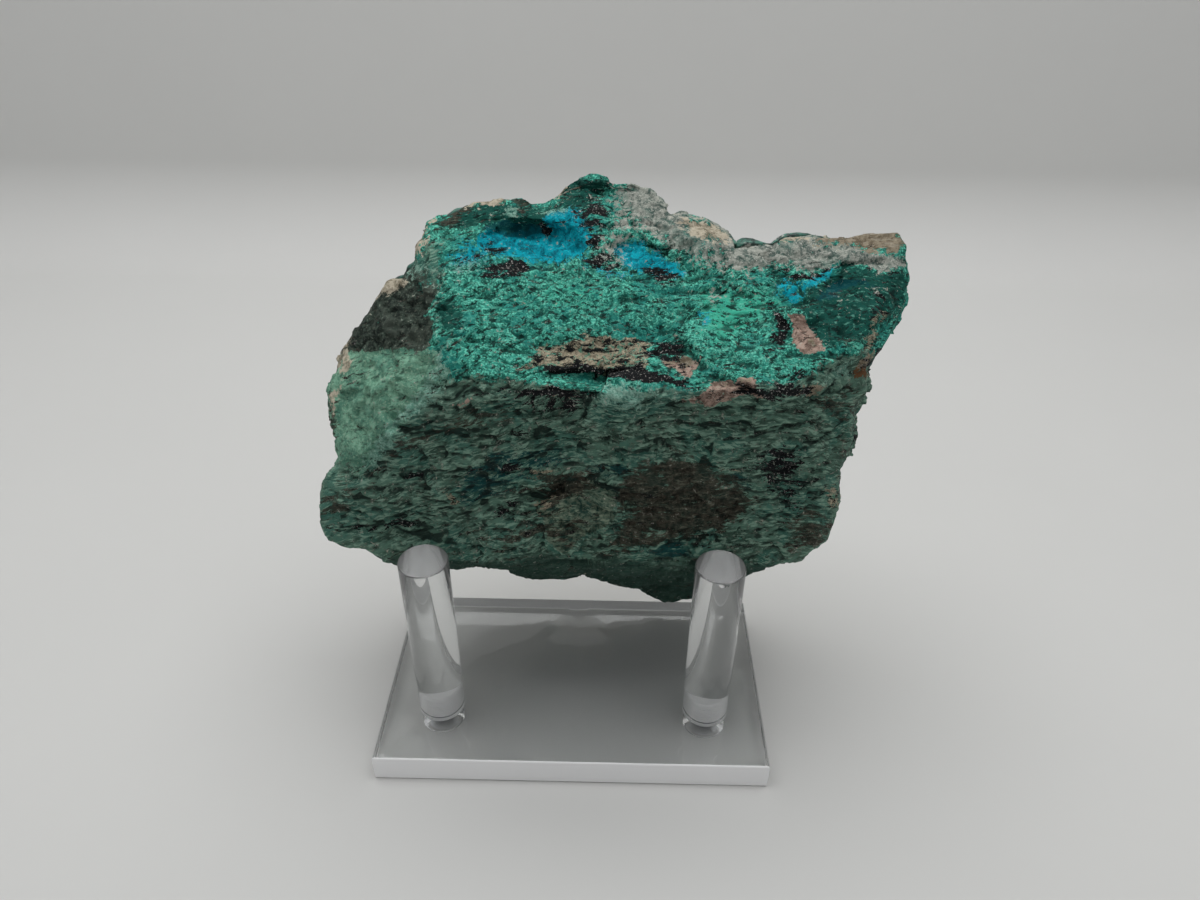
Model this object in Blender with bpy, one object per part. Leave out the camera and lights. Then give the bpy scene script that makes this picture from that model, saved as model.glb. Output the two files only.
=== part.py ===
"""A chrysocolla specimen that leans on a clear two-peg stand.

The stone is one rough solid. Its form is worked out as a person standing in front of it would
describe it: an outline as seen from one viewing point, flat breaks that face the viewer, flat
breaks behind, and the lumps, pits and ledges on them. The stand is a plate, two pegs and the
two screws that hold the pegs. Units are metres, +Z is up, and the origin is the middle of the
plate's underside.
"""

import math

import bmesh
import bpy
import numpy as np
from mathutils import Matrix, Vector

MM = 0.001
GAP = 0.3 * MM

# Stand
PLATE_WIDTH = 80.0 * MM
PLATE_DEPTH = 46.5 * MM
PLATE_THICKNESS = 6.35 * MM
PLATE_EDGE = 0.4 * MM
PEG_RADIUS = 4.765 * MM
PEG_HEIGHT = 40.9 * MM
PEG_SPACING = 55.8 * MM
PEG_FROM_FRONT = 13.8 * MM
PEG_EDGE = 0.35 * MM
ROUND_SIDES = 36

# Screws, from below through the plate into the pegs
SHANK_RADIUS = 2.0 * MM
SHANK_IN_PEG = 5.2 * MM
HEAD_RADIUS = 3.8 * MM
HEAD_RECESS = 0.3 * MM
HEAD_LAND = 0.2 * MM
HOLE_CLEARANCE = 0.3 * MM
CONE_CLEARANCE = 0.5 * MM
SOCKET_RADIUS = 1.45 * MM
SOCKET_DEPTH = 1.2 * MM
SCREW_SIDES = 18
SOCKET_SIDES = 6
CUTTER_REACH = 2.0 * MM
MERGE_DISTANCE = 0.001 * MM
SHARP_ANGLE = math.radians(35)
ACRYLIC_ALPHA = 0.3

PLATE_TOP = PLATE_THICKNESS
PEG_BOTTOM = PLATE_TOP + GAP
PEG_TOP = PLATE_TOP + PEG_HEIGHT
PEG_Y = PEG_FROM_FRONT - PLATE_DEPTH / 2
PEG_SIDES = {"left": -PEG_SPACING / 2, "right": PEG_SPACING / 2}

# The viewing point that the stone's outline belongs to, and which way it looks
EYE = np.array((6.64, -133.05, 157.75)) * MM
LOOK_DOWN = math.radians(34.43)
LOOK_ASIDE = math.radians(-0.72)
HEAD_TILT = math.radians(0.63)
PLANE_DISTANCE = 150.0

# The stone's outline as seen from the eye: millimetres to the right and up, in a plane 150 mm away
OUTLINE = (
    (-46.4, 9.9), (-45.9, 12.6), (-44.5, 14.7), (-44.2, 17.1), (-42.8, 18.8), (-39.7, 23.7),
    (-37.9, 26.4), (-36.2, 28.7), (-33.4, 29.5), (-31.7, 32.1), (-31.0, 35.5), (-29.2, 39.1),
    (-26.8, 39.7), (-24.7, 40.9), (-21.2, 42.3), (-16.7, 42.8), (-13.3, 43.2), (-11.8, 42.1),
    (-9.4, 42.1), (-7.3, 43.5), (-4.9, 45.7), (-1.7, 46.7), (1.0, 46.2), (2.7, 45.2), (6.5, 45.0),
    (8.7, 44.0), (10.7, 42.1), (12.1, 40.1), (14.3, 40.6), (17.2, 39.7), (19.4, 38.2),
    (21.8, 37.5), (22.5, 35.5), (23.0, 34.3), (25.1, 34.6), (29.9, 35.1), (31.2, 36.2),
    (36.0, 36.8), (42.3, 36.2), (45.2, 36.8), (51.3, 37.0), (52.7, 35.1), (52.5, 32.9),
    (53.2, 29.7), (52.2, 28.0), (52.5, 25.8), (51.7, 23.5), (49.0, 18.6), (45.7, 14.5),
    (45.9, 10.7), (45.7, 9.0), (43.5, 6.5), (43.5, 5.1), (43.3, 1.5), (41.1, -3.4), (40.6, -6.3),
    (39.4, -13.5), (38.9, -15.5), (36.2, -16.7), (34.3, -18.4), (30.4, -18.9), (26.1, -20.6),
    (15.7, -25.4), (11.1, -25.9), (9.2, -25.2), (7.2, -23.9), (3.2, -23.2), (-2.7, -21.0),
    (-4.9, -21.5), (-11.1, -21.5), (-16.4, -20.5), (-21.2, -19.4), (-34.5, -19.4),
    (-38.2, -18.1), (-40.1, -17.1), (-42.1, -17.1), (-46.6, -15.9), (-48.3, -12.5),
    (-47.9, -8.9), (-47.4, -5.5), (-44.9, -3.1), (-44.5, -1.0), (-45.2, 2.9), (-45.9, 7.3),
)
MIDDLE = (1.7, 10.2)

# Flat breaks: a point (right, up) in the plane, the distance from the eye there, and how much
# farther away the break gets for each millimetre to the right and for each millimetre up
FRONT_BREAKS = {
    "bright upper face": ((0.0, 9.4), 140.0, (0.02, 0.72)),
    "dark face, left half": ((0.0, 9.4), 140.0, (-0.202, -0.908)),
    "dark face, right half": ((0.0, 9.4), 140.0, (0.153, -1.02)),
    "left end": ((-26.0, 12.8), 142.2, (-1.047, -0.152)),
    "upper left shoulder": ((-27.0, 20.0), 147.0, (-1.1, 0.5)),
    "right end": ((42.6, 13.6), 143.9, (1.6, 0.05)),
    "lower right corner": ((36.0, 0.0), 155.1, (0.9, -0.9)),
    "underside": ((0.0, -18.4), 168.0, (0.0, -6.0)),
}
BACK_BREAKS = {
    "back": ((0.0, 10.0), 188.0, (0.0, -0.72)),
    "left end": ((-47.0, 0.0), 173.0, (1.3, 0.0)),
    "right end": ((52.0, 0.0), 166.0, (-1.4, 0.0)),
    "bottom, left half": ((-48.0, -14.0), 174.0, (1.43, 3.64)),
    "bottom, right half": ((26.0, -20.6), 193.5, (-2.7, 3.0)),
}
BREAK_ROUNDING = 1.1
MIDDLING_DISTANCE = 170.0
LARGEST_EXPONENT = 200.0

# Relief on the front: middle (right, up), half sizes, turn in degrees, how far it stands out
# (minus: sinks in), and how sharp its border is
FRONT_RELIEF = {
    "blue cavity": ((-11.6, 35.2), (8.6, 3.4), -4, -3.6, 2.2),
    "brow over the blue cavity": ((-9.6, 40.0), (9.0, 1.7), -3, 1.5, 1.6),
    "blue boss": ((-4.6, 36.8), (2.7, 2.3), 0, 1.6, 1.5),
    "blue pocket": ((7.4, 33.0), (4.6, 2.6), -20, -1.5, 1.6),
    "quartz crest": ((11.0, 38.6), (9.5, 4.2), -28, 1.2, 1.4),
    "pale crust band": ((37.5, 33.6), (15.0, 2.2), 2, 1.3, 1.8),
    "teal hollow at the right": ((41.0, 27.6), (4.4, 1.8), 6, -1.6, 1.6),
    "small dark bump": ((-24.4, 21.2), (3.2, 4.6), 12, 1.5, 1.6),
    "hollow left of the bump": ((-31.0, 24.0), (3.0, 6.0), 20, -1.2, 1.2),
    "beige patch": ((-1.5, 16.8), (13.0, 3.0), -2, -0.9, 1.4),
    "cleft under the beige patch": ((-2.5, 12.8), (8.0, 0.8), 2, -1.8, 1.4),
    "pink patch": ((34.4, 20.0), (4.2, 2.3), -8, -1.1, 2.0),
    "ledge at the right": ((23.5, 9.9), (11.0, 1.5), 3, 1.9, 1.8),
    "cleft under the ridge": ((-9.0, 6.6), (9.0, 1.0), -2, -1.5, 1.4),
    "brown pocket, left": ((-6.4, -6.2), (6.4, 2.3), 8, -3.0, 1.6),
    "brown pocket, right": ((17.0, -9.2), (10.5, 5.6), -6, -4.2, 1.5),
    "leaning flake": ((-0.2, -11.0), (6.6, 4.6), -28, 3.4, 2.4),
    "dark pocket at the right": ((32.0, -3.4), (4.2, 3.6), 15, -2.0, 1.6),
    "hole on the left": ((-32.2, -4.2), (2.2, 0.9), 0, -1.3, 1.6),
    "upper hole": ((-12.4, 2.7), (2.6, 1.1), 10, -1.4, 1.6),
    "lower hole": ((-13.8, -3.2), (3.0, 1.1), 8, -1.4, 1.6),
    "hump over the left peg": ((-27.0, -11.0), (9.0, 4.0), -6, 1.0, 1.2),
    "hump by the right edge": ((37.0, -11.0), (3.4, 3.4), 0, 1.2, 1.4),
}
# Relief on the back, seen through from the same eye: plus stands out at the back
BACK_RELIEF = {
    "crystal hollow": ((-9.0, 15.0), (19.0, 11.0), 12, -5.0, 1.6),
    "small hollow": ((27.0, 2.0), (7.0, 6.0), -20, -3.0, 1.5),
    "upper swelling": ((20.0, 27.0), (13.0, 6.5), 8, 2.4, 1.2),
    "lower swelling": ((-22.0, -6.0), (12.0, 5.0), -15, 2.0, 1.2),
}

# The edge between front and back
FRONT_MARGIN = 0.975
BACK_MARGIN = 0.93
BACK_BLUR = math.radians(9)
BLUR_STEPS = (-1.0, -0.6, -0.2, 0.2, 0.6, 1.0)
WALL_ROWS = 4
WALL_BULGE = 0.7
BACK_FADE = 6.0
LEAST_THICKNESS = 1.0
GRID = 40

# Roughness: size of the lumps, how far they reach, seed
FRONT_ROUGHNESS = ((11.0, 0.9, 3), (4.6, 0.5, 8))
CHIPS = ((12.0, 0.8, 55), (6.0, 0.35, 77))
CHIP_STRETCH = (1.6, 1.0, 0.7)
OUTLINE_ROUGHNESS = 0.3
CRUST_LUMPS = ((10.0, 3.4, 21), (5.6, 2.2, 34))
LUMP_LEVEL = 0.55
CHIP_TILT = 4.0
PEG_SEAT_REACH = 9.0 * MM
PEG_SEAT_BEHIND = PEG_Y + 3 * PEG_RADIUS
PEG_SHIFT_BEHIND = PEG_Y + 4 * PEG_RADIUS
FOOT_FROM_BACK_EDGE = 0.6 * MM


def clear_scene():
    for obj in list(bpy.data.objects):
        bpy.data.objects.remove(obj, do_unlink=True)


def finish_material(name, color, roughness, metallic=0.0, alpha=1.0):
    material = bpy.data.materials.new(name)
    material.use_nodes = True
    shader = material.node_tree.nodes["Principled BSDF"]
    shader.inputs["Base Color"].default_value = (*color, 1.0)
    shader.inputs["Roughness"].default_value = roughness
    shader.inputs["Metallic"].default_value = metallic
    shader.inputs["Alpha"].default_value = alpha
    return material


def new_object(name, mesh, material):
    obj = bpy.data.objects.new(name, mesh)
    bpy.context.scene.collection.objects.link(obj)
    if material:
        mesh.materials.append(material)
    return obj


def cutter(obj):
    obj.hide_render = True
    obj.display_type = "WIRE"
    return obj


def cut(obj, tool):
    modifier = obj.modifiers.new("cut " + tool.name, "BOOLEAN")
    modifier.operation = "DIFFERENCE"
    modifier.solver = "EXACT"
    modifier.object = tool


def turned(name, profile, sides, material, place):
    """A round solid: the profile's (radius, height) points spun once round the upright axis."""
    shape = bmesh.new()
    points = [shape.verts.new((radius, 0.0, height)) for radius, height in profile]
    edges = [shape.edges.new(pair) for pair in zip(points, points[1:])]
    bmesh.ops.spin(
        shape, geom=points + edges, cent=(0, 0, 0), axis=(0, 0, 1), angle=2 * math.pi, steps=sides
    )
    bmesh.ops.remove_doubles(shape, verts=shape.verts, dist=MERGE_DISTANCE)
    bmesh.ops.recalc_face_normals(shape, faces=shape.faces)
    mesh = bpy.data.meshes.new(name)
    shape.to_mesh(mesh)
    shape.free()
    mesh.shade_smooth()
    mesh.set_sharp_from_angle(angle=SHARP_ANGLE)
    obj = new_object(name, mesh, material)
    obj.location = place
    return obj


def lattice_value(cell, seed):
    """A number from 0 to 1 for each whole-numbered point, the same each time."""
    mixed = cell[..., 0] * 374761393 + cell[..., 1] * 668265263 + cell[..., 2] * 1440662683
    mixed = (mixed + seed * 974634777) & 0xFFFFFFFF
    mixed = ((mixed ^ (mixed >> 13)) * 1274126177) & 0xFFFFFFFF
    return (mixed ^ (mixed >> 16)) / 4294967296.0


def smooth_noise(points, seed):
    """Noise from -1 to 1: lattice values blended over each cube with a smooth step."""
    base = np.floor(points).astype(np.int64)
    part = points - base
    part = part * part * part * (part * (part * 6 - 15) + 10)
    total = np.zeros(len(points))
    for corner in np.ndindex(2, 2, 2):
        corner = np.array(corner)
        weight = np.prod(np.where(corner, part, 1 - part), axis=1)
        total += weight * lattice_value(base + corner, seed)
    return total * 2 - 1


def nearest_seed(points, seed):
    """Offset from the nearest of one random seed point in each unit cube, and that seed's cube."""
    base = np.floor(points).astype(np.int64)
    offset = np.full(points.shape, 9.0)
    home = base.copy()
    for step in np.ndindex(3, 3, 3):
        cell = base + np.array(step) - 1
        spot = np.stack([lattice_value(cell, seed + axis) for axis in range(3)], axis=1)
        to_point = points - cell - spot
        closer = np.linalg.norm(to_point, axis=1) < np.linalg.norm(offset, axis=1)
        offset[closer] = to_point[closer]
        home[closer] = cell[closer]
    return offset, home


def rounded_lumps(points, seed):
    """Cones round the seeds, highest in the middle of each lump."""
    return LUMP_LEVEL - np.linalg.norm(nearest_seed(points, seed)[0], axis=1)


def flat_chips(points, seed):
    """A flat face in each cell, tilted its own way, with small cliffs where cells meet."""
    offset, home = nearest_seed(points, seed)
    tilt = np.stack([lattice_value(home, seed + 7 + axis) for axis in range(3)], axis=1) - 0.5
    return CHIP_TILT * np.sum(offset * tilt, axis=1)


def eye_axes():
    """Right, up and away, as the eye sees them."""
    away = np.array((
        math.sin(LOOK_ASIDE) * math.cos(LOOK_DOWN),
        math.cos(LOOK_ASIDE) * math.cos(LOOK_DOWN),
        -math.sin(LOOK_DOWN),
    ))
    level = np.cross(away, (0.0, 0.0, 1.0))
    level /= np.linalg.norm(level)
    upright = np.cross(level, away)
    right = level * math.cos(HEAD_TILT) + upright * math.sin(HEAD_TILT)
    return right, upright * math.cos(HEAD_TILT) - level * math.sin(HEAD_TILT), away


def along_sight(right_mm, up_mm, distance_mm):
    """The point at this distance on the sight line through a point of the outline's plane."""
    right, up, away = eye_axes()
    across = np.multiply.outer(right_mm, right) + np.multiply.outer(up_mm, up)
    reach = distance_mm[..., None] * MM
    return EYE + across / PLANE_DISTANCE * reach + away * reach


def disc_grid(count):
    """A square grid wrapped onto a disc: radius from 0 to 1 and angle for each grid point."""
    line = np.linspace(-1.0, 1.0, count + 1)
    p, q = np.meshgrid(line, line, indexing="ij")
    wide = np.abs(p) >= np.abs(q)
    ratio = np.where(wide, q / np.where(p == 0, 1, p), p / np.where(q == 0, 1, q))
    angle = np.where(wide, math.pi / 4 * ratio, math.pi / 2 - math.pi / 4 * ratio)
    behind = np.where(wide, p < 0, q < 0)
    return np.maximum(np.abs(p), np.abs(q)), angle + math.pi * behind


def outline_reach(angle, blur=0.0):
    """Distance from the middle to the outline in this direction, or its mean over some spread."""
    arms = np.array(OUTLINE) - MIDDLE
    arm_angle = np.arctan2(arms[:, 1], arms[:, 0])
    order = np.argsort(arm_angle)
    length = np.hypot(arms[:, 0], arms[:, 1])
    total = 0.0
    for share in BLUR_STEPS:
        turned_angle = angle + blur * share
        total = total + np.interp(turned_angle, arm_angle[order], length[order], period=2 * math.pi)
    return total / len(BLUR_STEPS)


def place_in_plane(reach, angle):
    return MIDDLE[0] + reach * np.cos(angle), MIDDLE[1] + reach * np.sin(angle)


def breaks_distance(breaks, right, up, side):
    """Farthest (side 1) or nearest (side -1) of the flat breaks, with rounded edges between."""
    total = 0.0
    for (at_right, at_up), distance, (slope_right, slope_up) in breaks.values():
        value = distance + slope_right * (right - at_right) + slope_up * (up - at_up)
        exponent = side * (value - MIDDLING_DISTANCE) / BREAK_ROUNDING
        total = total + np.exp(np.clip(exponent, -LARGEST_EXPONENT, LARGEST_EXPONENT))
    return MIDDLING_DISTANCE + side * BREAK_ROUNDING * np.log(total)


def relief_height(relief, right, up):
    """Sum of the soft-edged ovals: full height inside, falling to nothing across the border."""
    total = np.zeros_like(right)
    for (at_right, at_up), (half_wide, half_high), turn, height, sharpness in relief.values():
        cos, sin = math.cos(math.radians(turn)), math.sin(math.radians(turn))
        x = ((right - at_right) * cos + (up - at_up) * sin) / half_wide
        y = ((up - at_up) * cos - (right - at_right) * sin) / half_high
        total += height * np.exp(-((x * x + y * y) ** sharpness))
    return total


def border_indices(count):
    """The rim of a (count + 1) square grid, once round against the clock as the eye sees it."""
    index = np.arange((count + 1) ** 2).reshape(count + 1, count + 1)
    return np.concatenate([index[:-1, 0], index[-1, :-1], index[:0:-1, -1], index[0, :0:-1]])


def stone_surface(count):
    """Points and four-sided faces of the closed stone, and how much each point is back crust.

    Two sheets over the same disc, the front at the farthest of its breaks less its relief and
    the back at the nearest of its own plus its relief, joined by rows round the outline that
    bulge out to it between the two sheets' margins.
    """
    radius, angle = disc_grid(count)
    radius, angle = radius.ravel(), angle.ravel()
    outline = outline_reach(angle)
    back_outline = outline_reach(angle, BACK_BLUR)
    right, up = place_in_plane(radius * FRONT_MARGIN * outline, angle)
    front = breaks_distance(FRONT_BREAKS, right, up, 1) - relief_height(FRONT_RELIEF, right, up)
    front_points = along_sight(right, up, front)
    right, up = place_in_plane(radius * BACK_MARGIN * back_outline, angle)
    fade = np.clip((1 - radius) * BACK_FADE, 0, 1)
    back = breaks_distance(BACK_BREAKS, right, up, -1)
    back = back + fade * relief_height(BACK_RELIEF, right, up)
    rim = border_indices(count)
    back = np.maximum(back, breaks_distance(FRONT_BREAKS, right, up, 1) + LEAST_THICKNESS)
    back_points = along_sight(right, up, back)

    parts = [front_points]
    crust = [np.zeros(len(front_points))]
    rows = [rim]
    for row in range(1, WALL_ROWS + 1):
        share = row / (WALL_ROWS + 1)
        straight = FRONT_MARGIN * outline[rim] * (1 - share) + BACK_MARGIN * back_outline[rim] * share
        bulge = math.sin(math.pi * math.sqrt(share)) ** WALL_BULGE
        full = outline[rim] * (1 - share) + np.minimum(outline, back_outline)[rim] * share
        right, up = place_in_plane(straight + (full - straight) * bulge, angle[rim])
        distance = front[rim] * (1 - share) + back[rim] * share
        rows.append(sum(map(len, parts)) + np.arange(len(rim)))
        parts.append(along_sight(right, up, distance))
        crust.append(np.full(len(rim), share))
    start = sum(map(len, parts))
    rows.append(start + rim)
    parts.append(back_points)
    crust.append(np.ones(len(back_points)))

    index = np.arange((count + 1) ** 2).reshape(count + 1, count + 1)
    sheet = np.stack([index[:-1, :-1], index[1:, :-1], index[1:, 1:], index[:-1, 1:]], axis=-1)
    sheet = sheet.reshape(-1, 4)
    faces = [sheet, sheet[:, ::-1] + start]
    for near, far in zip(rows, rows[1:]):
        faces.append(np.stack([near, far, np.roll(far, -1), np.roll(near, -1)], axis=-1))
    return np.concatenate(parts), np.concatenate(faces), np.concatenate(crust)


def point_normals(points, faces):
    """Unit normals: the area-weighted mean of the faces that meet at each point."""
    corners = points[faces]
    across = np.cross(corners[:, 2] - corners[:, 0], corners[:, 3] - corners[:, 1])
    total = np.zeros_like(points)
    for corner in range(4):
        np.add.at(total, faces[:, corner], across)
    return total / np.linalg.norm(total, axis=1, keepdims=True)


def roughened(points, faces, crust):
    """The points pushed along their normals by lumps: plain on the front, rounded on the crust."""
    normals = point_normals(points, faces)
    places = points / MM
    height = np.zeros(len(points))
    for size, reach, seed in FRONT_ROUGHNESS:
        height += (1 - crust) * reach * smooth_noise(places / size, seed)
    for size, reach, seed in CHIPS:
        height += (1 - crust) * reach * flat_chips(places / size / CHIP_STRETCH, seed)
    for size, reach, seed in CRUST_LUMPS:
        height += crust * reach * rounded_lumps(places / size, seed)
    first_row = 1 / (WALL_ROWS + 1)
    height[np.isclose(crust, first_row)] *= OUTLINE_ROUGHNESS
    return points + normals * (height * MM)[:, None]


def seated(points):
    """The stone set against the stand: a hollow where each peg touches, and a flat foot."""
    points = points.copy()
    for peg_x in PEG_SIDES.values():
        beside = np.clip(points[:, 0] - peg_x, -PEG_RADIUS, PEG_RADIUS)
        peg_back = PEG_Y + np.sqrt(PEG_RADIUS**2 - beside**2) + GAP
        touch = (np.abs(points[:, 0] - peg_x) < PEG_RADIUS + GAP) & (points[:, 2] < PEG_TOP + GAP)
        near = touch & (points[:, 1] < PEG_SEAT_BEHIND)
        shift = np.max(peg_back[near] - points[near, 1])
        away = np.hypot(points[:, 0] - peg_x, points[:, 2] - PEG_TOP) / PEG_SEAT_REACH
        front_part = points[:, 1] < PEG_SHIFT_BEHIND
        points[:, 1] += shift * np.exp(-(away**4)) * front_part
    low = points[:, 2] < PLATE_TOP + GAP
    points[low, 2] = PLATE_TOP + GAP
    foot = points[:, 2] < PLATE_TOP + 2 * GAP
    limit = PLATE_DEPTH / 2 - FOOT_FROM_BACK_EDGE
    points[foot, 1] = np.minimum(points[foot, 1], limit)
    return points


def make_specimen():
    material = finish_material("chrysocolla", (0.08, 0.32, 0.25), 0.75)
    points, faces, crust = stone_surface(GRID)
    points = seated(roughened(points, faces, crust))
    mesh = bpy.data.meshes.new("specimen")
    mesh.from_pydata(points.tolist(), [], faces.tolist())
    mesh.validate()
    return new_object("specimen", mesh, material)


def make_screw(side, x, material):
    cone_top = HEAD_RECESS + HEAD_LAND + HEAD_RADIUS - SHANK_RADIUS
    profile = (
        (0.0, HEAD_RECESS),
        (HEAD_RADIUS, HEAD_RECESS),
        (HEAD_RADIUS, HEAD_RECESS + HEAD_LAND),
        (SHANK_RADIUS, cone_top),
        (SHANK_RADIUS, PEG_BOTTOM + SHANK_IN_PEG),
        (0.0, PEG_BOTTOM + SHANK_IN_PEG),
    )
    screw = turned("screw_" + side, profile, SCREW_SIDES, material, (x, PEG_Y, 0))
    socket_profile = (
        (0.0, HEAD_RECESS - CUTTER_REACH),
        (SOCKET_RADIUS, HEAD_RECESS - CUTTER_REACH),
        (SOCKET_RADIUS, HEAD_RECESS + SOCKET_DEPTH),
        (0.0, HEAD_RECESS + SOCKET_DEPTH),
    )
    cut(screw, cutter(turned("socket_" + side, socket_profile, SOCKET_SIDES, None, (x, PEG_Y, 0))))


def make_peg(side, x, material):
    hole = SHANK_RADIUS + HOLE_CLEARANCE
    hole_top = PEG_BOTTOM + SHANK_IN_PEG + HOLE_CLEARANCE
    profile = (
        (0.0, hole_top),
        (hole, hole_top),
        (hole, PEG_BOTTOM),
        (PEG_RADIUS - PEG_EDGE, PEG_BOTTOM),
        (PEG_RADIUS, PEG_BOTTOM + PEG_EDGE),
        (PEG_RADIUS, PEG_TOP - PEG_EDGE),
        (PEG_RADIUS - PEG_EDGE, PEG_TOP),
        (0.0, PEG_TOP),
    )
    turned("peg_" + side, profile, ROUND_SIDES, material, (x, PEG_Y, 0))


def make_plate(material):
    shape = bmesh.new()
    size = Matrix.Diagonal(Vector((PLATE_WIDTH, PLATE_DEPTH, PLATE_THICKNESS, 1.0)))
    centre = Matrix.Translation((0, 0, PLATE_THICKNESS / 2))
    bmesh.ops.create_cube(shape, size=1.0, matrix=centre @ size)
    bmesh.ops.bevel(
        shape, geom=shape.edges[:], offset=PLATE_EDGE, segments=2, profile=0.5, affect="EDGES"
    )
    mesh = bpy.data.meshes.new("base_plate")
    shape.to_mesh(mesh)
    shape.free()
    plate = new_object("base_plate", mesh, material)
    wide = HEAD_RADIUS + CONE_CLEARANCE
    hole = SHANK_RADIUS + HOLE_CLEARANCE
    profile = (
        (0.0, -CUTTER_REACH),
        (wide, -CUTTER_REACH),
        (wide, HEAD_RECESS + HEAD_LAND),
        (hole, HEAD_RECESS + HEAD_LAND + wide - hole),
        (hole, PLATE_TOP + CUTTER_REACH),
        (0.0, PLATE_TOP + CUTTER_REACH),
    )
    for side, x in PEG_SIDES.items():
        cut(plate, cutter(turned("screw_hole_" + side, profile, SCREW_SIDES, None, (x, PEG_Y, 0))))


def main():
    clear_scene()
    acrylic = finish_material("clear acrylic", (0.92, 0.95, 0.95), 0.03, alpha=ACRYLIC_ALPHA)
    dark_steel = finish_material("dark steel", (0.05, 0.06, 0.07), 0.4, metallic=1.0)
    make_plate(acrylic)
    for side, x in PEG_SIDES.items():
        make_peg(side, x, acrylic)
        make_screw(side, x, dark_steel)
    make_specimen()


main()
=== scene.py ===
"""Looks for a chrysocolla specimen that leans on a clear two-peg stand.

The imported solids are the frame. The stone is worked out again here from the same breaks and
relief as the solid, much finer, in a rock piece and a quartz crust piece with its crystals.
The stand's clear pieces and screws are turned or laid out anew as smooth surfaces.
"""

import math

import bpy
import numpy as np
from mathutils import Matrix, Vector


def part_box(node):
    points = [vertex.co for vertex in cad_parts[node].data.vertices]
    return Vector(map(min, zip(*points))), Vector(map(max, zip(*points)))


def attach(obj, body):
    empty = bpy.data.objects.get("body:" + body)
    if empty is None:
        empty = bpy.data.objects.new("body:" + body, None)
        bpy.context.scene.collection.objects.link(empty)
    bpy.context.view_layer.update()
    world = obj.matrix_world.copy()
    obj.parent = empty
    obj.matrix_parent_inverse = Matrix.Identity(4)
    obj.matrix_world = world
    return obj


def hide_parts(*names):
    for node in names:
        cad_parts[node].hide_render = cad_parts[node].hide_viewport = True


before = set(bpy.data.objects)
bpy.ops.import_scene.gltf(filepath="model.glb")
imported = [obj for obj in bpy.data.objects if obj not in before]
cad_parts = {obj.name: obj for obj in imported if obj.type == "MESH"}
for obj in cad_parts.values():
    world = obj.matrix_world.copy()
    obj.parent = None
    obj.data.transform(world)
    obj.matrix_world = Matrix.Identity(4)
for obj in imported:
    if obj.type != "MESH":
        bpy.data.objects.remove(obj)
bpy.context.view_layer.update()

bl_info = {
    "name": "Chrysocolla specimen on a peg stand",
    "version": (1, 0, 0),
    "blender": (4, 5, 0),
    "location": "3D View > Sidebar > Specimen",
    "description": "Builds the stone, its quartz crust, the clear stand and a plain studio",
    "category": "Object",
}

MM = 0.001
PLATE_LOW, PLATE_HIGH = (np.array(corner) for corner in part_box("base_plate"))
PEG_BOXES = {
    side: [np.array(corner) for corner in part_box("peg_" + side)] for side in ("left", "right")
}
PEG_AXES = {side: (low[:2] + high[:2]) / 2 for side, (low, high) in PEG_BOXES.items()}
PEG_RADIUS = float(PEG_BOXES["left"][1][1] - PEG_BOXES["left"][0][1]) / 2
PEG_BOTTOM, PEG_TOP = (float(corner[2]) for corner in PEG_BOXES["left"])
PLATE_TOP = float(PLATE_HIGH[2])
SCREW_TOP = float(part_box("screw_left")[1][2])
SCREW_BOTTOM = float(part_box("screw_left")[0][2])
HEAD_RADIUS = float(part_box("screw_left")[1][0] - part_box("screw_left")[0][0]) / 2
GAP = PEG_BOTTOM - PLATE_TOP

# The viewing point that the stone's outline belongs to, and which way it looks
EYE = np.array((6.64, -133.05, 157.75)) * MM
LOOK_DOWN = math.radians(34.43)
LOOK_ASIDE = math.radians(-0.72)
HEAD_TILT = math.radians(0.63)
PLANE_DISTANCE = 150.0
PHOTO_WIDTH = 1200
FOCAL_PIXELS = 879.3
SENSOR_WIDTH = 36.0

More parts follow.
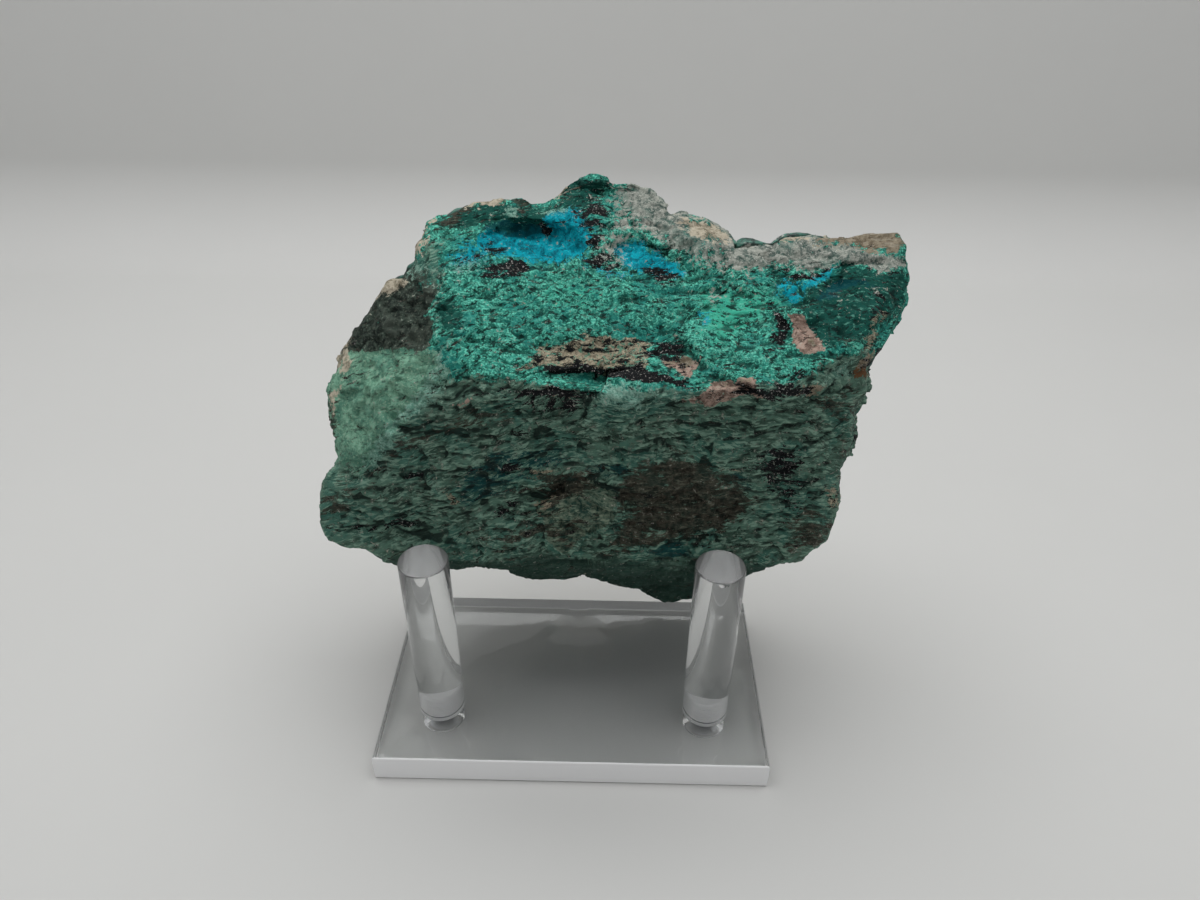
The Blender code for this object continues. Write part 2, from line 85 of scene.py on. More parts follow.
# The stone's outline as seen from the eye: millimetres to the right and up, in a plane 150 mm away
OUTLINE = (
    (-46.4, 9.9), (-45.9, 12.6), (-44.5, 14.7), (-44.2, 17.1), (-42.8, 18.8), (-39.7, 23.7),
    (-37.9, 26.4), (-36.2, 28.7), (-33.4, 29.5), (-31.7, 32.1), (-31.0, 35.5), (-29.2, 39.1),
    (-26.8, 39.7), (-24.7, 40.9), (-21.2, 42.3), (-16.7, 42.8), (-13.3, 43.2), (-11.8, 42.1),
    (-9.4, 42.1), (-7.3, 43.5), (-4.9, 45.7), (-1.7, 46.7), (1.0, 46.2), (2.7, 45.2), (6.5, 45.0),
    (8.7, 44.0), (10.7, 42.1), (12.1, 40.1), (14.3, 40.6), (17.2, 39.7), (19.4, 38.2),
    (21.8, 37.5), (22.5, 35.5), (23.0, 34.3), (25.1, 34.6), (29.9, 35.1), (31.2, 36.2),
    (36.0, 36.8), (42.3, 36.2), (45.2, 36.8), (51.3, 37.0), (52.7, 35.1), (52.5, 32.9),
    (53.2, 29.7), (52.2, 28.0), (52.5, 25.8), (51.7, 23.5), (49.0, 18.6), (45.7, 14.5),
    (45.9, 10.7), (45.7, 9.0), (43.5, 6.5), (43.5, 5.1), (43.3, 1.5), (41.1, -3.4), (40.6, -6.3),
    (39.4, -13.5), (38.9, -15.5), (36.2, -16.7), (34.3, -18.4), (30.4, -18.9), (26.1, -20.6),
    (15.7, -25.4), (11.1, -25.9), (9.2, -25.2), (7.2, -23.9), (3.2, -23.2), (-2.7, -21.0),
    (-4.9, -21.5), (-11.1, -21.5), (-16.4, -20.5), (-21.2, -19.4), (-34.5, -19.4),
    (-38.2, -18.1), (-40.1, -17.1), (-42.1, -17.1), (-46.6, -15.9), (-48.3, -12.5),
    (-47.9, -8.9), (-47.4, -5.5), (-44.9, -3.1), (-44.5, -1.0), (-45.2, 2.9), (-45.9, 7.3),
)
MIDDLE = (1.7, 10.2)

# Flat breaks: a point (right, up) in the plane, the distance from the eye there, and how much
# farther away the break gets for each millimetre to the right and for each millimetre up
FRONT_BREAKS = {
    "upper": ((0.0, 9.4), 140.0, (0.02, 0.72)),
    "lower_left": ((0.0, 9.4), 140.0, (-0.202, -0.908)),
    "lower_right": ((0.0, 9.4), 140.0, (0.153, -1.02)),
    "left_end": ((-26.0, 12.8), 142.2, (-1.047, -0.152)),
    "shoulder": ((-27.0, 20.0), 147.0, (-1.1, 0.5)),
    "right_end": ((42.6, 13.6), 143.9, (1.6, 0.05)),
    "corner": ((36.0, 0.0), 155.1, (0.9, -0.9)),
    "underside": ((0.0, -18.4), 168.0, (0.0, -6.0)),
}
BACK_BREAKS = {
    "back": ((0.0, 10.0), 188.0, (0.0, -0.72)),
    "left end": ((-47.0, 0.0), 173.0, (1.3, 0.0)),
    "right end": ((52.0, 0.0), 166.0, (-1.4, 0.0)),
    "bottom, left half": ((-48.0, -14.0), 174.0, (1.43, 3.64)),
    "bottom, right half": ((26.0, -20.6), 193.5, (-2.7, 3.0)),
}
BREAK_ROUNDING = 1.1

# Relief: middle (right, up), half sizes, turn in degrees, how far it stands out (minus: sinks in),
# and how sharp its border is
FRONT_RELIEF = {
    "blue cavity": ((-11.6, 35.2), (8.6, 3.4), -4, -3.6, 2.2),
    "brow over the blue cavity": ((-9.6, 40.0), (9.0, 1.7), -3, 1.5, 1.6),
    "blue boss": ((-4.6, 36.8), (2.7, 2.3), 0, 1.6, 1.5),
    "blue pocket": ((7.4, 33.0), (4.6, 2.6), -20, -1.5, 1.6),
    "quartz crest": ((11.0, 38.6), (9.5, 4.2), -28, 1.2, 1.4),
    "pale crust band": ((37.5, 33.6), (15.0, 2.2), 2, 1.3, 1.8),
    "teal hollow at the right": ((41.0, 27.6), (4.4, 1.8), 6, -1.6, 1.6),
    "small dark bump": ((-24.4, 21.2), (3.2, 4.6), 12, 1.5, 1.6),
    "hollow left of the bump": ((-31.0, 24.0), (3.0, 6.0), 20, -1.2, 1.2),
    "beige patch": ((-1.5, 16.8), (13.0, 3.0), -2, -0.9, 1.4),
    "cleft under the beige patch": ((-2.5, 12.8), (8.0, 0.8), 2, -1.8, 1.4),
    "pink patch": ((34.4, 20.0), (4.2, 2.3), -8, -1.1, 2.0),
    "ledge at the right": ((23.5, 9.9), (11.0, 1.5), 3, 1.9, 1.8),
    "cleft under the ridge": ((-9.0, 6.6), (9.0, 1.0), -2, -1.5, 1.4),
    "brown pocket, left": ((-6.4, -6.2), (6.4, 2.3), 8, -3.0, 1.6),
    "brown pocket, right": ((17.0, -9.2), (10.5, 5.6), -6, -4.2, 1.5),
    "dark pocket at the right": ((32.0, -3.4), (4.2, 3.6), 15, -2.0, 1.6),
    "hole on the left": ((-32.2, -4.2), (2.2, 0.9), 0, -1.3, 1.6),
    "upper hole": ((-12.4, 2.7), (2.6, 1.1), 10, -1.4, 1.6),
    "lower hole": ((-13.8, -3.2), (3.0, 1.1), 8, -1.4, 1.6),
    "hump over the left peg": ((-27.0, -11.0), (9.0, 4.0), -6, 1.0, 1.2),
    "hump by the right edge": ((37.0, -11.0), (3.4, 3.4), 0, 1.2, 1.4),
}
BACK_RELIEF = {
    "crystal hollow": ((-9.0, 15.0), (19.0, 11.0), 12, -5.0, 1.6),
    "small hollow": ((27.0, 2.0), (7.0, 6.0), -20, -3.0, 1.5),
    "upper swelling": ((20.0, 27.0), (13.0, 6.5), 8, 2.4, 1.2),
    "lower swelling": ((-22.0, -6.0), (12.0, 5.0), -15, 2.0, 1.2),
}

# Where the stone's minerals lie on the front: the same kind of ovals, with a strength for a height.
# The shade ovals are no mineral but painted shade inside the blue hollow and the teal hollow.
MINERALS = {
    "azure": (
        ((-11.6, 34.9), (7.4, 2.6), -3, 1.1, 1.6),
        ((-20.6, 33.6), (5.0, 2.6), 20, 0.62, 1.2),
        ((-4.6, 37.2), (3.9, 3.9), 0, 1.15, 1.8),
        ((6.3, 33.5), (4.6, 2.7), -25, 1.0, 1.5),
        ((10.8, 31.0), (3.4, 1.5), -20, 0.7, 1.3),
        ((31.9, 27.3), (3.2, 2.1), 30, 0.8, 1.3),
        ((37.2, 29.8), (2.6, 1.1), 20, 0.75, 1.3),
        ((-1.5, 31.4), (7.5, 1.4), -14, 0.4, 1.1),
        ((17.0, 22.6), (2.4, 2.0), 0, 0.4, 1.1),
    ),
    "black": (
        ((-18.6, 30.2), (4.2, 1.0), 8, 0.85, 1.3),
        ((-18.8, 33.6), (3.4, 1.4), 5, 0.85, 1.3),
        ((-16.2, 31.6), (1.3, 1.0), 0, 0.9, 1.4),
        ((-0.8, 40.6), (2.6, 3.4), 0, 0.72, 1.2),
        ((-0.4, 34.0), (2.4, 3.2), 12, 0.85, 1.3),
        ((-9.4, 37.7), (0.9, 1.2), 0, 1.0, 1.6),
        ((9.7, 29.9), (3.4, 1.6), -20, 0.8, 1.3),
        ((13.4, 35.4), (2.2, 2.0), 0, 0.5, 1.2),
        ((35.0, 30.6), (7.4, 0.8), 4, 0.62, 1.2),
        ((47.0, 30.6), (4.6, 0.7), 4, 0.5, 1.2),
        ((-2.9, 13.6), (8.4, 0.9), -3, 1.0, 1.4),
        ((8.2, 12.3), (8.2, 0.8), -12, 0.95, 1.4),
        ((12.4, 16.0), (1.1, 3.6), 22, 0.7, 1.3),
        ((-10.0, 9.6), (6.6, 0.8), 1, 0.9, 1.4),
        ((-7.4, 7.8), (8.6, 1.6), 2, 0.62, 1.3),
        ((29.6, 19.6), (1.2, 3.4), 14, 1.1, 1.5),
        ((30.2, 10.3), (4.4, 1.2), 2, 1.0, 1.4),
        ((22.8, 9.1), (3.6, 0.6), 5, 0.85, 1.4),
        ((35.4, 13.7), (4.2, 1.2), 10, 0.62, 1.3),
        ((7.6, 16.0), (2.8, 4.4), -20, 0.55, 1.3),
        ((-4.6, 12.9), (6.4, 0.8), 4, 0.8, 1.4),
        ((30.4, -3.4), (5.0, 4.2), 10, 0.8, 1.2),
        ((34.0, -8.6), (2.2, 3.0), -20, 0.5, 1.2),
        ((-12.5, 2.7), (2.6, 1.1), 8, 0.9, 1.4),
        ((-13.6, -3.1), (3.2, 1.1), 8, 0.9, 1.4),
        ((-17.0, -10.6), (3.4, 1.3), 10, 0.75, 1.3),
        ((-31.6, -4.1), (2.2, 0.8), 0, 0.8, 1.4),
        ((-36.0, -12.8), (5.4, 0.7), 0, 0.7, 1.3),
        ((45.6, 24.6), (1.6, 2.4), 20, 0.6, 1.3),
        ((46.4, 15.4), (1.6, 3.6), -30, 0.75, 1.4),
        ((44.0, 2.4), (2.4, 3.8), 0, 0.55, 1.2),
    ),
    "beige": (
        ((-25.4, -7.7), (1.5, 0.8), 20, 1.1, 2.0),
        ((45.4, 20.8), (1.0, 3.2), -24, 0.8, 1.4),
        ((40.3, -7.4), (1.1, 3.0), 0, 0.85, 1.4),
        ((-9.4, -4.2), (2.6, 0.6), 24, 0.7, 1.3),
        ((-9.6, -9.6), (4.0, 0.9), 10, 0.62, 1.3),
        ((23.4, -4.2), (1.6, 0.7), -10, 0.5, 1.3),
    ),
    "tan": (
        ((46.0, 35.9), (8.0, 2.0), 4, 0.95, 1.8),
        ((44.4, 15.2), (0.9, 2.2), -34, 0.8, 1.4),
        ((37.6, 18.6), (1.3, 1.0), 0, 1.1, 1.8),
        ((23.4, 10.9), (3.6, 0.8), 2, 0.8, 1.4),
        ((13.6, 15.3), (1.3, 1.3), 0, 0.95, 1.5),
        ((35.0, 10.2), (2.4, 1.3), 10, 0.7, 1.3),
    ),
    "rust": (((43.6, 13.4), (1.8, 1.6), 0, 0.62, 1.2),),
    "pink": (
        ((13.8, 14.3), (1.9, 2.3), 0, 0.95, 1.5),
        ((-23.0, 8.0), (3.0, 0.7), 18, 0.55, 1.2),
        ((-8.0, 8.6), (6.0, 0.8), 0, 0.42, 1.2),
    ),
    "quartz": (
        ((7.7, 41.8), (5.8, 3.6), -25, 0.72, 1.2),
        ((15.4, 36.0), (9.6, 3.6), -32, 0.8, 1.3),
        ((27.3, 33.4), (4.6, 2.4), 0, 0.9, 1.4),
        ((36.0, 35.0), (8.4, 3.2), 2, 0.95, 1.6),
        ((45.0, 32.4), (9.6, 1.4), 1, 1.0, 1.6),
        ((11.0, 44.0), (6.0, 2.6), -30, 0.8, 1.4),
        ((21.6, 37.6), (4.6, 2.4), -30, 0.8, 1.4),
        ((3.6, 37.0), (2.4, 3.4), 0, 0.5, 1.2),
        ((1.4, 33.8), (2.2, 2.6), 0, 0.4, 1.2),
        ((19.6, 26.0), (2.6, 1.2), 40, 0.45, 1.2),
    ),
    "pale_rim": (
        ((17.6, 38.0), (5.4, 1.9), -22, 0.9, 1.4),
        ((-30.6, 36.2), (2.4, 4.6), -24, 1.0, 1.4),
        ((-36.2, 28.0), (3.4, 1.7), 42, 0.95, 1.4),
        ((-33.4, 27.6), (2.0, 1.4), 35, 0.75, 1.3),
        ((-43.4, 16.4), (1.3, 3.6), -22, 0.9, 1.4),
        ((-45.2, 9.0), (0.9, 3.4), 0, 0.6, 1.3),
        ((-32.4, 32.0), (1.2, 2.4), -22, 0.7, 1.3),
        ((-19.6, 42.6), (4.4, 1.0), 12, 0.95, 1.4),
        ((-5.6, 45.2), (3.6, 1.0), 40, 0.9, 1.4),
        ((35.0, 37.0), (9.0, 1.2), 2, 0.85, 1.4),
    ),
    "brown": (
        ((-6.0, -6.0), (6.4, 2.2), 8, 0.8, 1.3),
        ((-4.4, -8.3), (4.4, 1.1), 24, 1.0, 1.4),
        ((-24.6, 40.4), (3.0, 1.4), 30, 0.8, 1.3),
        ((-13.4, 42.0), (2.6, 1.1), 0, 0.8, 1.3),
        ((-45.6, 6.0), (1.2, 5.0), 0, 0.55, 1.3),
        ((-9.0, -14.0), (7.0, 2.6), 8, 0.6, 1.2),
        ((36.4, -13.4), (4.0, 3.4), 0, 0.8, 1.3),
        ((43.0, 5.0), (3.0, 6.0), 0, 0.5, 1.2),
        ((-21.2, 4.4), (8.8, 1.5), 14, 0.62, 1.2),
        ((-33.0, 1.0), (4.0, 2.0), 30, 0.45, 1.2),
        ((-44.0, -9.0), (3.0, 2.6), 0, 0.6, 1.2),
        ((40.6, 9.0), (3.4, 2.0), 20, 0.5, 1.2),
    ),
    "mint": (
        ((23.0, 24.6), (8.0, 4.0), 0, 0.6, 1.3),
        ((24.4, 7.7), (7.6, 1.0), 3, 0.85, 1.4),
        ((-16.4, 10.6), (7.0, 2.0), 0, 0.45, 1.2),
        ((20.0, 20.5), (5.6, 4.4), 0, 0.5, 1.2),
        ((-5.0, 26.0), (9.0, 2.6), 0, 0.4, 1.2),
    ),
    "frost": (
        ((4.6, 9.0), (6.0, 2.4), -6, 0.8, 1.3),
        ((-22.5, 32.0), (3.4, 1.8), 20, 0.5, 1.2),
        ((-31.0, 31.0), (2.4, 3.0), -30, 0.55, 1.3),
        ((-16.2, 40.6), (2.0, 1.2), 0, 0.8, 1.3),
        ((-7.6, 40.4), (3.4, 0.9), 0, 0.6, 1.3),
        ((-28.4, 23.6), (0.7, 4.0), 12, 0.6, 1.3),
        ((-38.2, 0.2), (1.4, 5.2), -38, 0.8, 1.3),
        ((-32.2, 7.4), (1.5, 5.6), -50, 0.8, 1.3),
        ((-26.8, 14.0), (1.3, 4.4), -24, 0.75, 1.3),
        ((40.0, 13.0), (6.0, 1.6), 34, 0.4, 1.2),
    ),
    "teal": (
        ((-3.0, 43.8), (3.6, 2.4), 30, 0.75, 1.3),
        ((44.0, 28.4), (7.6, 1.6), 6, 0.95, 1.3),
        ((43.0, 25.0), (11.5, 6.4), 14, 0.85, 1.3),
        ((38.0, 20.5), (6.0, 2.4), 20, 0.5, 1.2),
        ((-11.5, 39.6), (9.4, 2.0), 0, 0.95, 1.4),
        ((-21.0, 40.4), (7.0, 1.6), 8, 0.8, 1.3),
        ((-2.6, 42.6), (5.6, 2.4), 20, 0.5, 1.2),
        ((-26.2, 23.0), (2.6, 3.8), 12, 0.8, 1.4),
        ((-4.0, 10.6), (8.6, 0.9), 0, 0.5, 1.2),
    ),
    "lobe": (
        ((-45.6, -7.6), (3.8, 5.6), -8, 1.0, 1.4),
        ((-43.0, -14.0), (4.0, 2.6), 20, 0.8, 1.4),
        ((-28.4, 31.6), (2.2, 5.4), -26, 0.9, 1.4),
    ),
    # Painted shade inside the blue hollow and the teal hollow at the right
    "shade": (
        ((-14.2, 37.4), (5.4, 1.5), -4, 1.0, 1.5),
        ((41.5, 27.6), (4.6, 1.3), 6, 0.8, 1.4),
    ),
    "deep": (
        ((-14.0, -2.0), (10.0, 2.4), 16, 0.6, 1.2),
        ((-19.0, -6.6), (8.0, 2.2), 14, 0.55, 1.2),
        ((12.4, -17.0), (4.6, 1.7), 0, 0.8, 1.3),
        ((4.0, -3.2), (10.0, 1.5), -2, 0.55, 1.2),
        ((24.0, -6.0), (3.6, 2.6), -40, 0.55, 1.2),
    ),
}

# Flat-edged patches: corners (right, up) in millimetres against the clock, and the border's width
PATCHES = {
    "pink": (
        (((34.0, 15.9), (39.8, 17.2), (40.0, 19.4), (34.0, 23.0), (29.8, 22.8)), 0.9),
        (((13.3, 8.5), (20.0, 7.9), (27.4, 9.2), (27.4, 12.1), (19.3, 11.4)), 0.9),
    ),
    "beige": (
        (
            (
                (-14.6, 14.3), (-6.8, 13.9), (9.2, 13.0), (9.6, 17.2), (6.8, 20.2), (0.0, 20.6),
                (-9.5, 17.8),
            ),
            1.6,
        ),
    ),
    "flake": (
        (
            (
                (6.8, -7.0), (-0.9, -5.6), (-11.7, -10.2), (-7.7, -15.4), (-4.5, -17.2),
                (-1.2, -16.5), (2.4, -10.9),
            ),
            0.5,
        ),
    ),
    "brown": (
        (
            (
                (26.2, -9.2), (21.0, -4.5), (10.9, -1.4), (6.6, -3.0), (2.0, -13.1),
                (2.4, -17.1), (20.0, -13.5),
            ),
            5.0,
        ),
    ),
}
GREEN_HUMP = (((-26.0, 21.0), (3.6, 6.6), 12, 1.0, 1.6),)
SHOULDER_FOOT = (16.0, 18.0)
FLAKE_HEIGHT = 0.7
FLAKE_RISE = 0.17
FLAKE_START = -12.0

# How the breaks meet, and the edge between front and back
MIDDLING_DISTANCE = 170.0
LARGEST_EXPONENT = 200
BACK_FADE = 6
LEAST_THICKNESS = 1.0
WALL_BULGE = 0.7
FRONT_MARGIN = 0.975
BACK_MARGIN = 0.93
BACK_BLUR = math.radians(9)
BLUR_STEPS = (-1.0, -0.6, -0.2, 0.2, 0.6, 1.0)
WALL_ROWS = 35
ROCK_ROWS = 24
CRUST_FIRST_ROW = 21
CRUST_STANDS_OUT = 0.35
CRUST_RIM_LUMPS = 0.55
CRUST_RIM_RISE = 5.0
CLOSING_SHARES = (0.985, 0.9, 0.6, 0.3)

# Numbers that turn a place into a number that looks random
HASH_FACTORS = (374761393, 668265263, 1440662683)
HASH_SEED_FACTOR = 974634777
HASH_MIX = 1274126177
HASH_BITS = 0xFFFFFFFF

# Roughness: size of the lumps, how far they reach, seed. The larger ones are the solid's own.
FRONT_ROUGHNESS = ((11.0, 0.9, 3), (4.6, 0.5, 8), (2.1, 0.26, 13))
FINE_ROUGHNESS = ((1.1, 0.16, 17),)
CHIPS = ((12.0, 0.8, 55), (6.0, 0.35, 77), (2.8, 0.30, 91))
CHIP_STRETCH = (1.6, 1.0, 0.7)
CHIP_TILT = 4
CHIP_SEED_STEP = 7
LUMP_LEVEL = 0.55
OUTLINE_ROUGHNESS = 0.3
OUTLINE_CALM = 8
CRUST_LUMPS = ((10.0, 3.4, 21), (5.6, 2.2, 34), (2.4, 0.9, 47), (1.2, 0.45, 52))
GRANULES = ((2.2, 0.40, 61), (1.1, 0.24, 67))
FEWER_GRANULES_BELOW = 0.8
QUARTZ_KNOBS = ((3.6, 0.9, 81), (1.7, 0.5, 83))
CREASES = ((6.5, 0.55, 101), (2.6, 0.34, 103))
CREASE_SHARPNESS = 5.0
STRATA = ((3.3, 0.5, 0.0), (1.25, 0.3, 0.37))
STRATA_ABOVE = 0.15
LEDGE_RISE = 0.8
LEDGE_FALL = 0.2
STRATA_WARP = ((16.0, 2.2, 71), (5.0, 0.8, 73), (2.0, 0.25, 79))
BED_SLOPE = 0.22
BED_BEND_AT = -5.0
ZONE_WARP = ((7.0, 2.2, 201), (2.6, 1.1, 211))
ZONE_WARP_UP = 0.5
ZONE_BLEND = 0.8
CAVITY_SPREADS = 8

# How the stone sits against the stand
SEAT_GAP = 0.05 * MM
PEG_SEAT_REACH = 9.0 * MM
PEG_SEAT_BEHIND = 3 * PEG_RADIUS
PEG_SHIFT_BEHIND = 4 * PEG_RADIUS
FOOT_FROM_BACK_EDGE = 0.6 * MM

# Which sockets of a Mix node take colours, and where a broken border turns from none to all
MIX_AMOUNT = 0
MIX_FIRST = 6
MIX_SECOND = 7
MIX_RESULT = 2
BORDER_LEVELS = (0.46, 0.54)

# Quartz crystals
CRYSTAL_SEED = 5
CRYSTAL_PATCH = 9.0
CRYSTAL_PATCH_CONTRAST = 2.2
CRYSTAL_CHANCE = 0.25
CRYSTAL_LENGTH_SPREAD = 0.3
CRYSTAL_WIDTHS = (0.2, 0.38)
CRYSTAL_UNEVEN = (0.8, 1.2)
CRYSTAL_LEAN = 0.3
CRYSTAL_SUNK = 0.4
CRYSTAL_SHOULDER = 0.45
CRYSTAL_TAPER = 0.92
CRYSTAL_SIDES = 6
CRYSTAL_POINTS = 2 * CRYSTAL_SIDES + 2
CRYSTAL_CLEAR = 3.0 * MM
CRYSTALS_FROM_RIM = 0.06

# Stand
ACRYLIC_BENDING = 1.491
QUARTZ_BENDING = 1.544
PEG_SIDES = 96
SCREW_SIDES = 48
PEG_EDGE = 0.35 * MM
PLATE_EDGE = 0.4 * MM
EDGE_STEPS = 5
SIDE_POINTS = 40
SHANK_RADIUS = 2.0 * MM
HOLE_RADIUS = 2.2 * MM
THREAD_PITCH = 0.7 * MM
THREAD_DEPTH = 0.12 * MM
THREAD_ROWS = 6
BARE_END = 0.5 * MM
HOLE_MOUTH = 0.35 * MM
HOLE_BARE = 0.15 * MM
HOLE_TOP_RADIUS = 0.8 * HOLE_RADIUS
HOLE_TOP_ROUNDING = 0.05 * MM
HOLE_RIM = 0.2 * MM
SCREW_BEVEL = 0.3 * MM
HEAD_BEVEL = 0.1 * MM
HEAD_LAND = 0.2 * MM
CONE_CLEARANCE = 0.5 * MM
SOCKET_FLAT = 1.25 * MM
SOCKET_DEPTH = 1.2 * MM
SOCKET_BEVEL = 0.12 * MM
SOCKET_NARROWING = 0.96
SOCKET_DRILL_TIP = 0.25 * MM
SOCKET_RIM = 0.5 * MM
SHARP_ANGLE = math.radians(32)
LEVEL_FACE = 0.9
CLOSE_ENOUGH = 1e-7
MERGE_DECIMALS = 8

# Studio: a floor just under the plate, and one soft light with a place, an aim and a size in metres
FLOOR_LEVEL = -0.15 * MM
FLOOR_SHADE = 0.97
FLOOR_REACH = 2.0
SWEEP_START = 0.225
SWEEP_RADIUS = 0.04
SWEEP_STEPS = 24
SWEEP_HEIGHT = 1.5
WORLD_COLOR = (0.97, 0.98, 1.0)
WORLD_STRENGTH = 0.42
LIGHT_PLACE = (0.0, 0.12, 0.60)
LIGHT_AIM = (0.0, 0.06, 0.0)
LIGHT_SIZE = (0.7, 0.5)


def colour_setting(name, description, default):
    return bpy.props.FloatVectorProperty(
        name=name, description=description, default=default, size=3, subtype="COLOR"
    )


class SPECIMEN_PG_sizes(bpy.types.PropertyGroup):
    """Sizes and colours of the stone and its stand."""

    grid: bpy.props.IntProperty(
        name="Rock fineness", description="Squares along each side of the rock's face", default=250
    )
    crust_grid: bpy.props.IntProperty(
        name="Crust fineness", description="Squares along each side of the crust", default=200
    )
    crystals: bpy.props.IntProperty(
        name="Crystals", description="How many quartz crystals stand on the crust", default=6500
    )
    crystal_length: bpy.props.FloatProperty(
        name="Crystal length",
        description="Length of a middling quartz crystal",
        default=0.85 * MM,
        unit="LENGTH",
    )
    green: colour_setting("Green", "Main colour of the bright upper face", (0.038, 0.295, 0.225))
    azure: colour_setting("Blue", "Colour of the blue cavity", (0.0, 0.35, 0.44))
    quartz: colour_setting("Quartz", "Colour of the pale crust", (0.52, 0.52, 0.47))
    floor: colour_setting("Floor", "Colour of the studio floor", (0.62, 0.62, 0.605))
    light: bpy.props.FloatProperty(
        name="Light", description="Power of the overhead light", default=3.4, unit="POWER"
    )


class Wire:
    """A value or colour on its way through a material. Sums of wires add Math nodes."""

    def __init__(self, paint, socket):
        self.paint = paint
        self.socket = socket

    def math(self, operation, first, second=0.0):
        return self.paint.node("ShaderNodeMath", {"operation": operation}, {0: first, 1: second})

    def __add__(self, other):
        return self.math("ADD", self, other)

    __radd__ = __add__

    def __mul__(self, other):
        return self.math("MULTIPLY", self, other)

    __rmul__ = __mul__

    def __sub__(self, other):
        return self.math("SUBTRACT", self, other)

    def __rsub__(self, other):
        return self.math("SUBTRACT", other, self)


class Paint:
    """One material's node tree, and short ways to add to it."""

    def __init__(self, name):
        self.material = bpy.data.materials.new(name)
        self.material.use_nodes = True
        self.tree = self.material.node_tree
        self.shader = self.tree.nodes["Principled BSDF"]
        coordinates = self.tree.nodes.new("ShaderNodeTexCoord")
        self.place = Wire(self, coordinates.outputs["Object"])

    def connect(self, socket, value):
        if isinstance(value, Wire):
            self.tree.links.new(value.socket, socket)
        elif hasattr(value, "__len__") and len(socket.default_value) == len(value) + 1:
            socket.default_value = (*value, 1.0)
        else:
            socket.default_value = value

    def node(self, kind, settings, values, out=0):
        made = self.tree.nodes.new(kind)
        for name, value in settings.items():
            setattr(made, name, value)
        for socket, value in values.items():
            self.connect(made.inputs[socket], value)
        return Wire(self, made.outputs[out])

    def mix(self, factor, first, second):
        values = {MIX_AMOUNT: factor, MIX_FIRST: first, MIX_SECOND: second}
        return self.node("ShaderNodeMix", {"data_type": "RGBA"}, values, MIX_RESULT)

    def noise(self, size_mm, detail=3.0, rough=0.55, twist=0.0, place=None):
        values = {
            "Vector": place or self.place, "Scale": 1.0 / MM / size_mm, "Detail": detail,
            "Roughness": rough, "Distortion": twist,
        }
        return self.node("ShaderNodeTexNoise", {}, values)

    def cells(self, size_mm):
        values = {"Vector": self.place, "Scale": 1.0 / MM / size_mm}
        return self.node("ShaderNodeTexVoronoi", {}, values, "Distance")

    def ramp(self, value, low, high, to_low=0.0, to_high=1.0):
        values = {"Value": value, 1: low, 2: high, 3: to_low, 4: to_high}
        return self.node("ShaderNodeMapRange", {"interpolation_type": "SMOOTHSTEP"}, values)

    def zone(self, name):
        settings = {"attribute_name": name, "attribute_type": "GEOMETRY"}
        return self.node("ShaderNodeAttribute", settings, {}, "Fac")

    def vector_zone(self, name):
        settings = {"attribute_name": name, "attribute_type": "GEOMETRY"}
        return self.node("ShaderNodeAttribute", settings, {}, "Vector")

    def scaled(self, place, scale):
        return self.node("ShaderNodeMapping", {}, {"Vector": place, "Scale": scale})

    def broken(self, zone, grain, reach):
        """The zone, with its border broken up by a grain pattern."""
        return self.ramp(zone + (grain - 0.5) * reach, *BORDER_LEVELS)

    def two_tone(self, pattern, low, high, first, second):
        """One colour where the pattern is low, running into another where it is high."""
        return self.mix(self.ramp(pattern, low, high), first, second)

    def cover(self, under, pattern, low, high, over, share=None):
        """A colour over another where the pattern is high, in full or by a share."""
        amount = self.ramp(pattern, low, high)
        return self.mix(amount * share if share else amount, under, over)

    def lay(self, under, name, grain, reach, over, share=None):
        """A colour over another inside a zone with a broken border, in full or by a share."""
        amount = self.broken(self.zone(name), grain, reach)
        return self.mix(amount * share if share else amount, under, over)

    def bump(self, height, reach_mm):
        values = {"Height": height, "Distance": reach_mm * MM, "Strength": 1.0}
        return self.node("ShaderNodeBump", {}, values)

    def set(self, **values):
        for name, value in values.items():
            self.connect(self.shader.inputs[name.replace("_", " ")], value)
        return self.material


def lattice_value(cell, seed):
    """A number from 0 to 1 for each whole-numbered point, the same each time."""
    mixed = (cell @ np.array(HASH_FACTORS) + seed * HASH_SEED_FACTOR) & HASH_BITS
    mixed = ((mixed ^ (mixed >> 13)) * HASH_MIX) & HASH_BITS
    return (mixed ^ (mixed >> 16)) / (HASH_BITS + 1)


def smooth_noise(points, seed):
    """Noise from -1 to 1: lattice values blended over each cube with a smooth step."""
    base = np.floor(points).astype(np.int64)
    part = points - base
    part = part * part * part * (part * (part * 6 - 15) + 10)
    total = np.zeros(len(points))
    for corner in np.ndindex(2, 2, 2):
        corner = np.array(corner)
        weight = np.prod(np.where(corner, part, 1 - part), axis=1)
        total += weight * lattice_value(base + corner, seed)
    return total * 2 - 1


def nearest_seed(points, seed):
    """Offset from the nearest of one random seed point in each unit cube, and that seed's cube."""
    base = np.floor(points).astype(np.int64)
    offset = np.zeros(points.shape)
    length = np.full(len(points), np.inf)
    home = base.copy()
    for step in np.ndindex(3, 3, 3):
        cell = base + np.array(step) - 1
        spot = np.stack([lattice_value(cell, seed + axis) for axis in range(3)], axis=1)
        to_point = points - cell - spot
        distance = np.linalg.norm(to_point, axis=1)
        closer = distance < length
        offset[closer] = to_point[closer]
        length[closer] = distance[closer]
        home[closer] = cell[closer]
    return offset, home


def rounded_lumps(points, seed):
    """Cones round the seeds, highest in the middle of each lump."""
    return LUMP_LEVEL - np.linalg.norm(nearest_seed(points, seed)[0], axis=1)


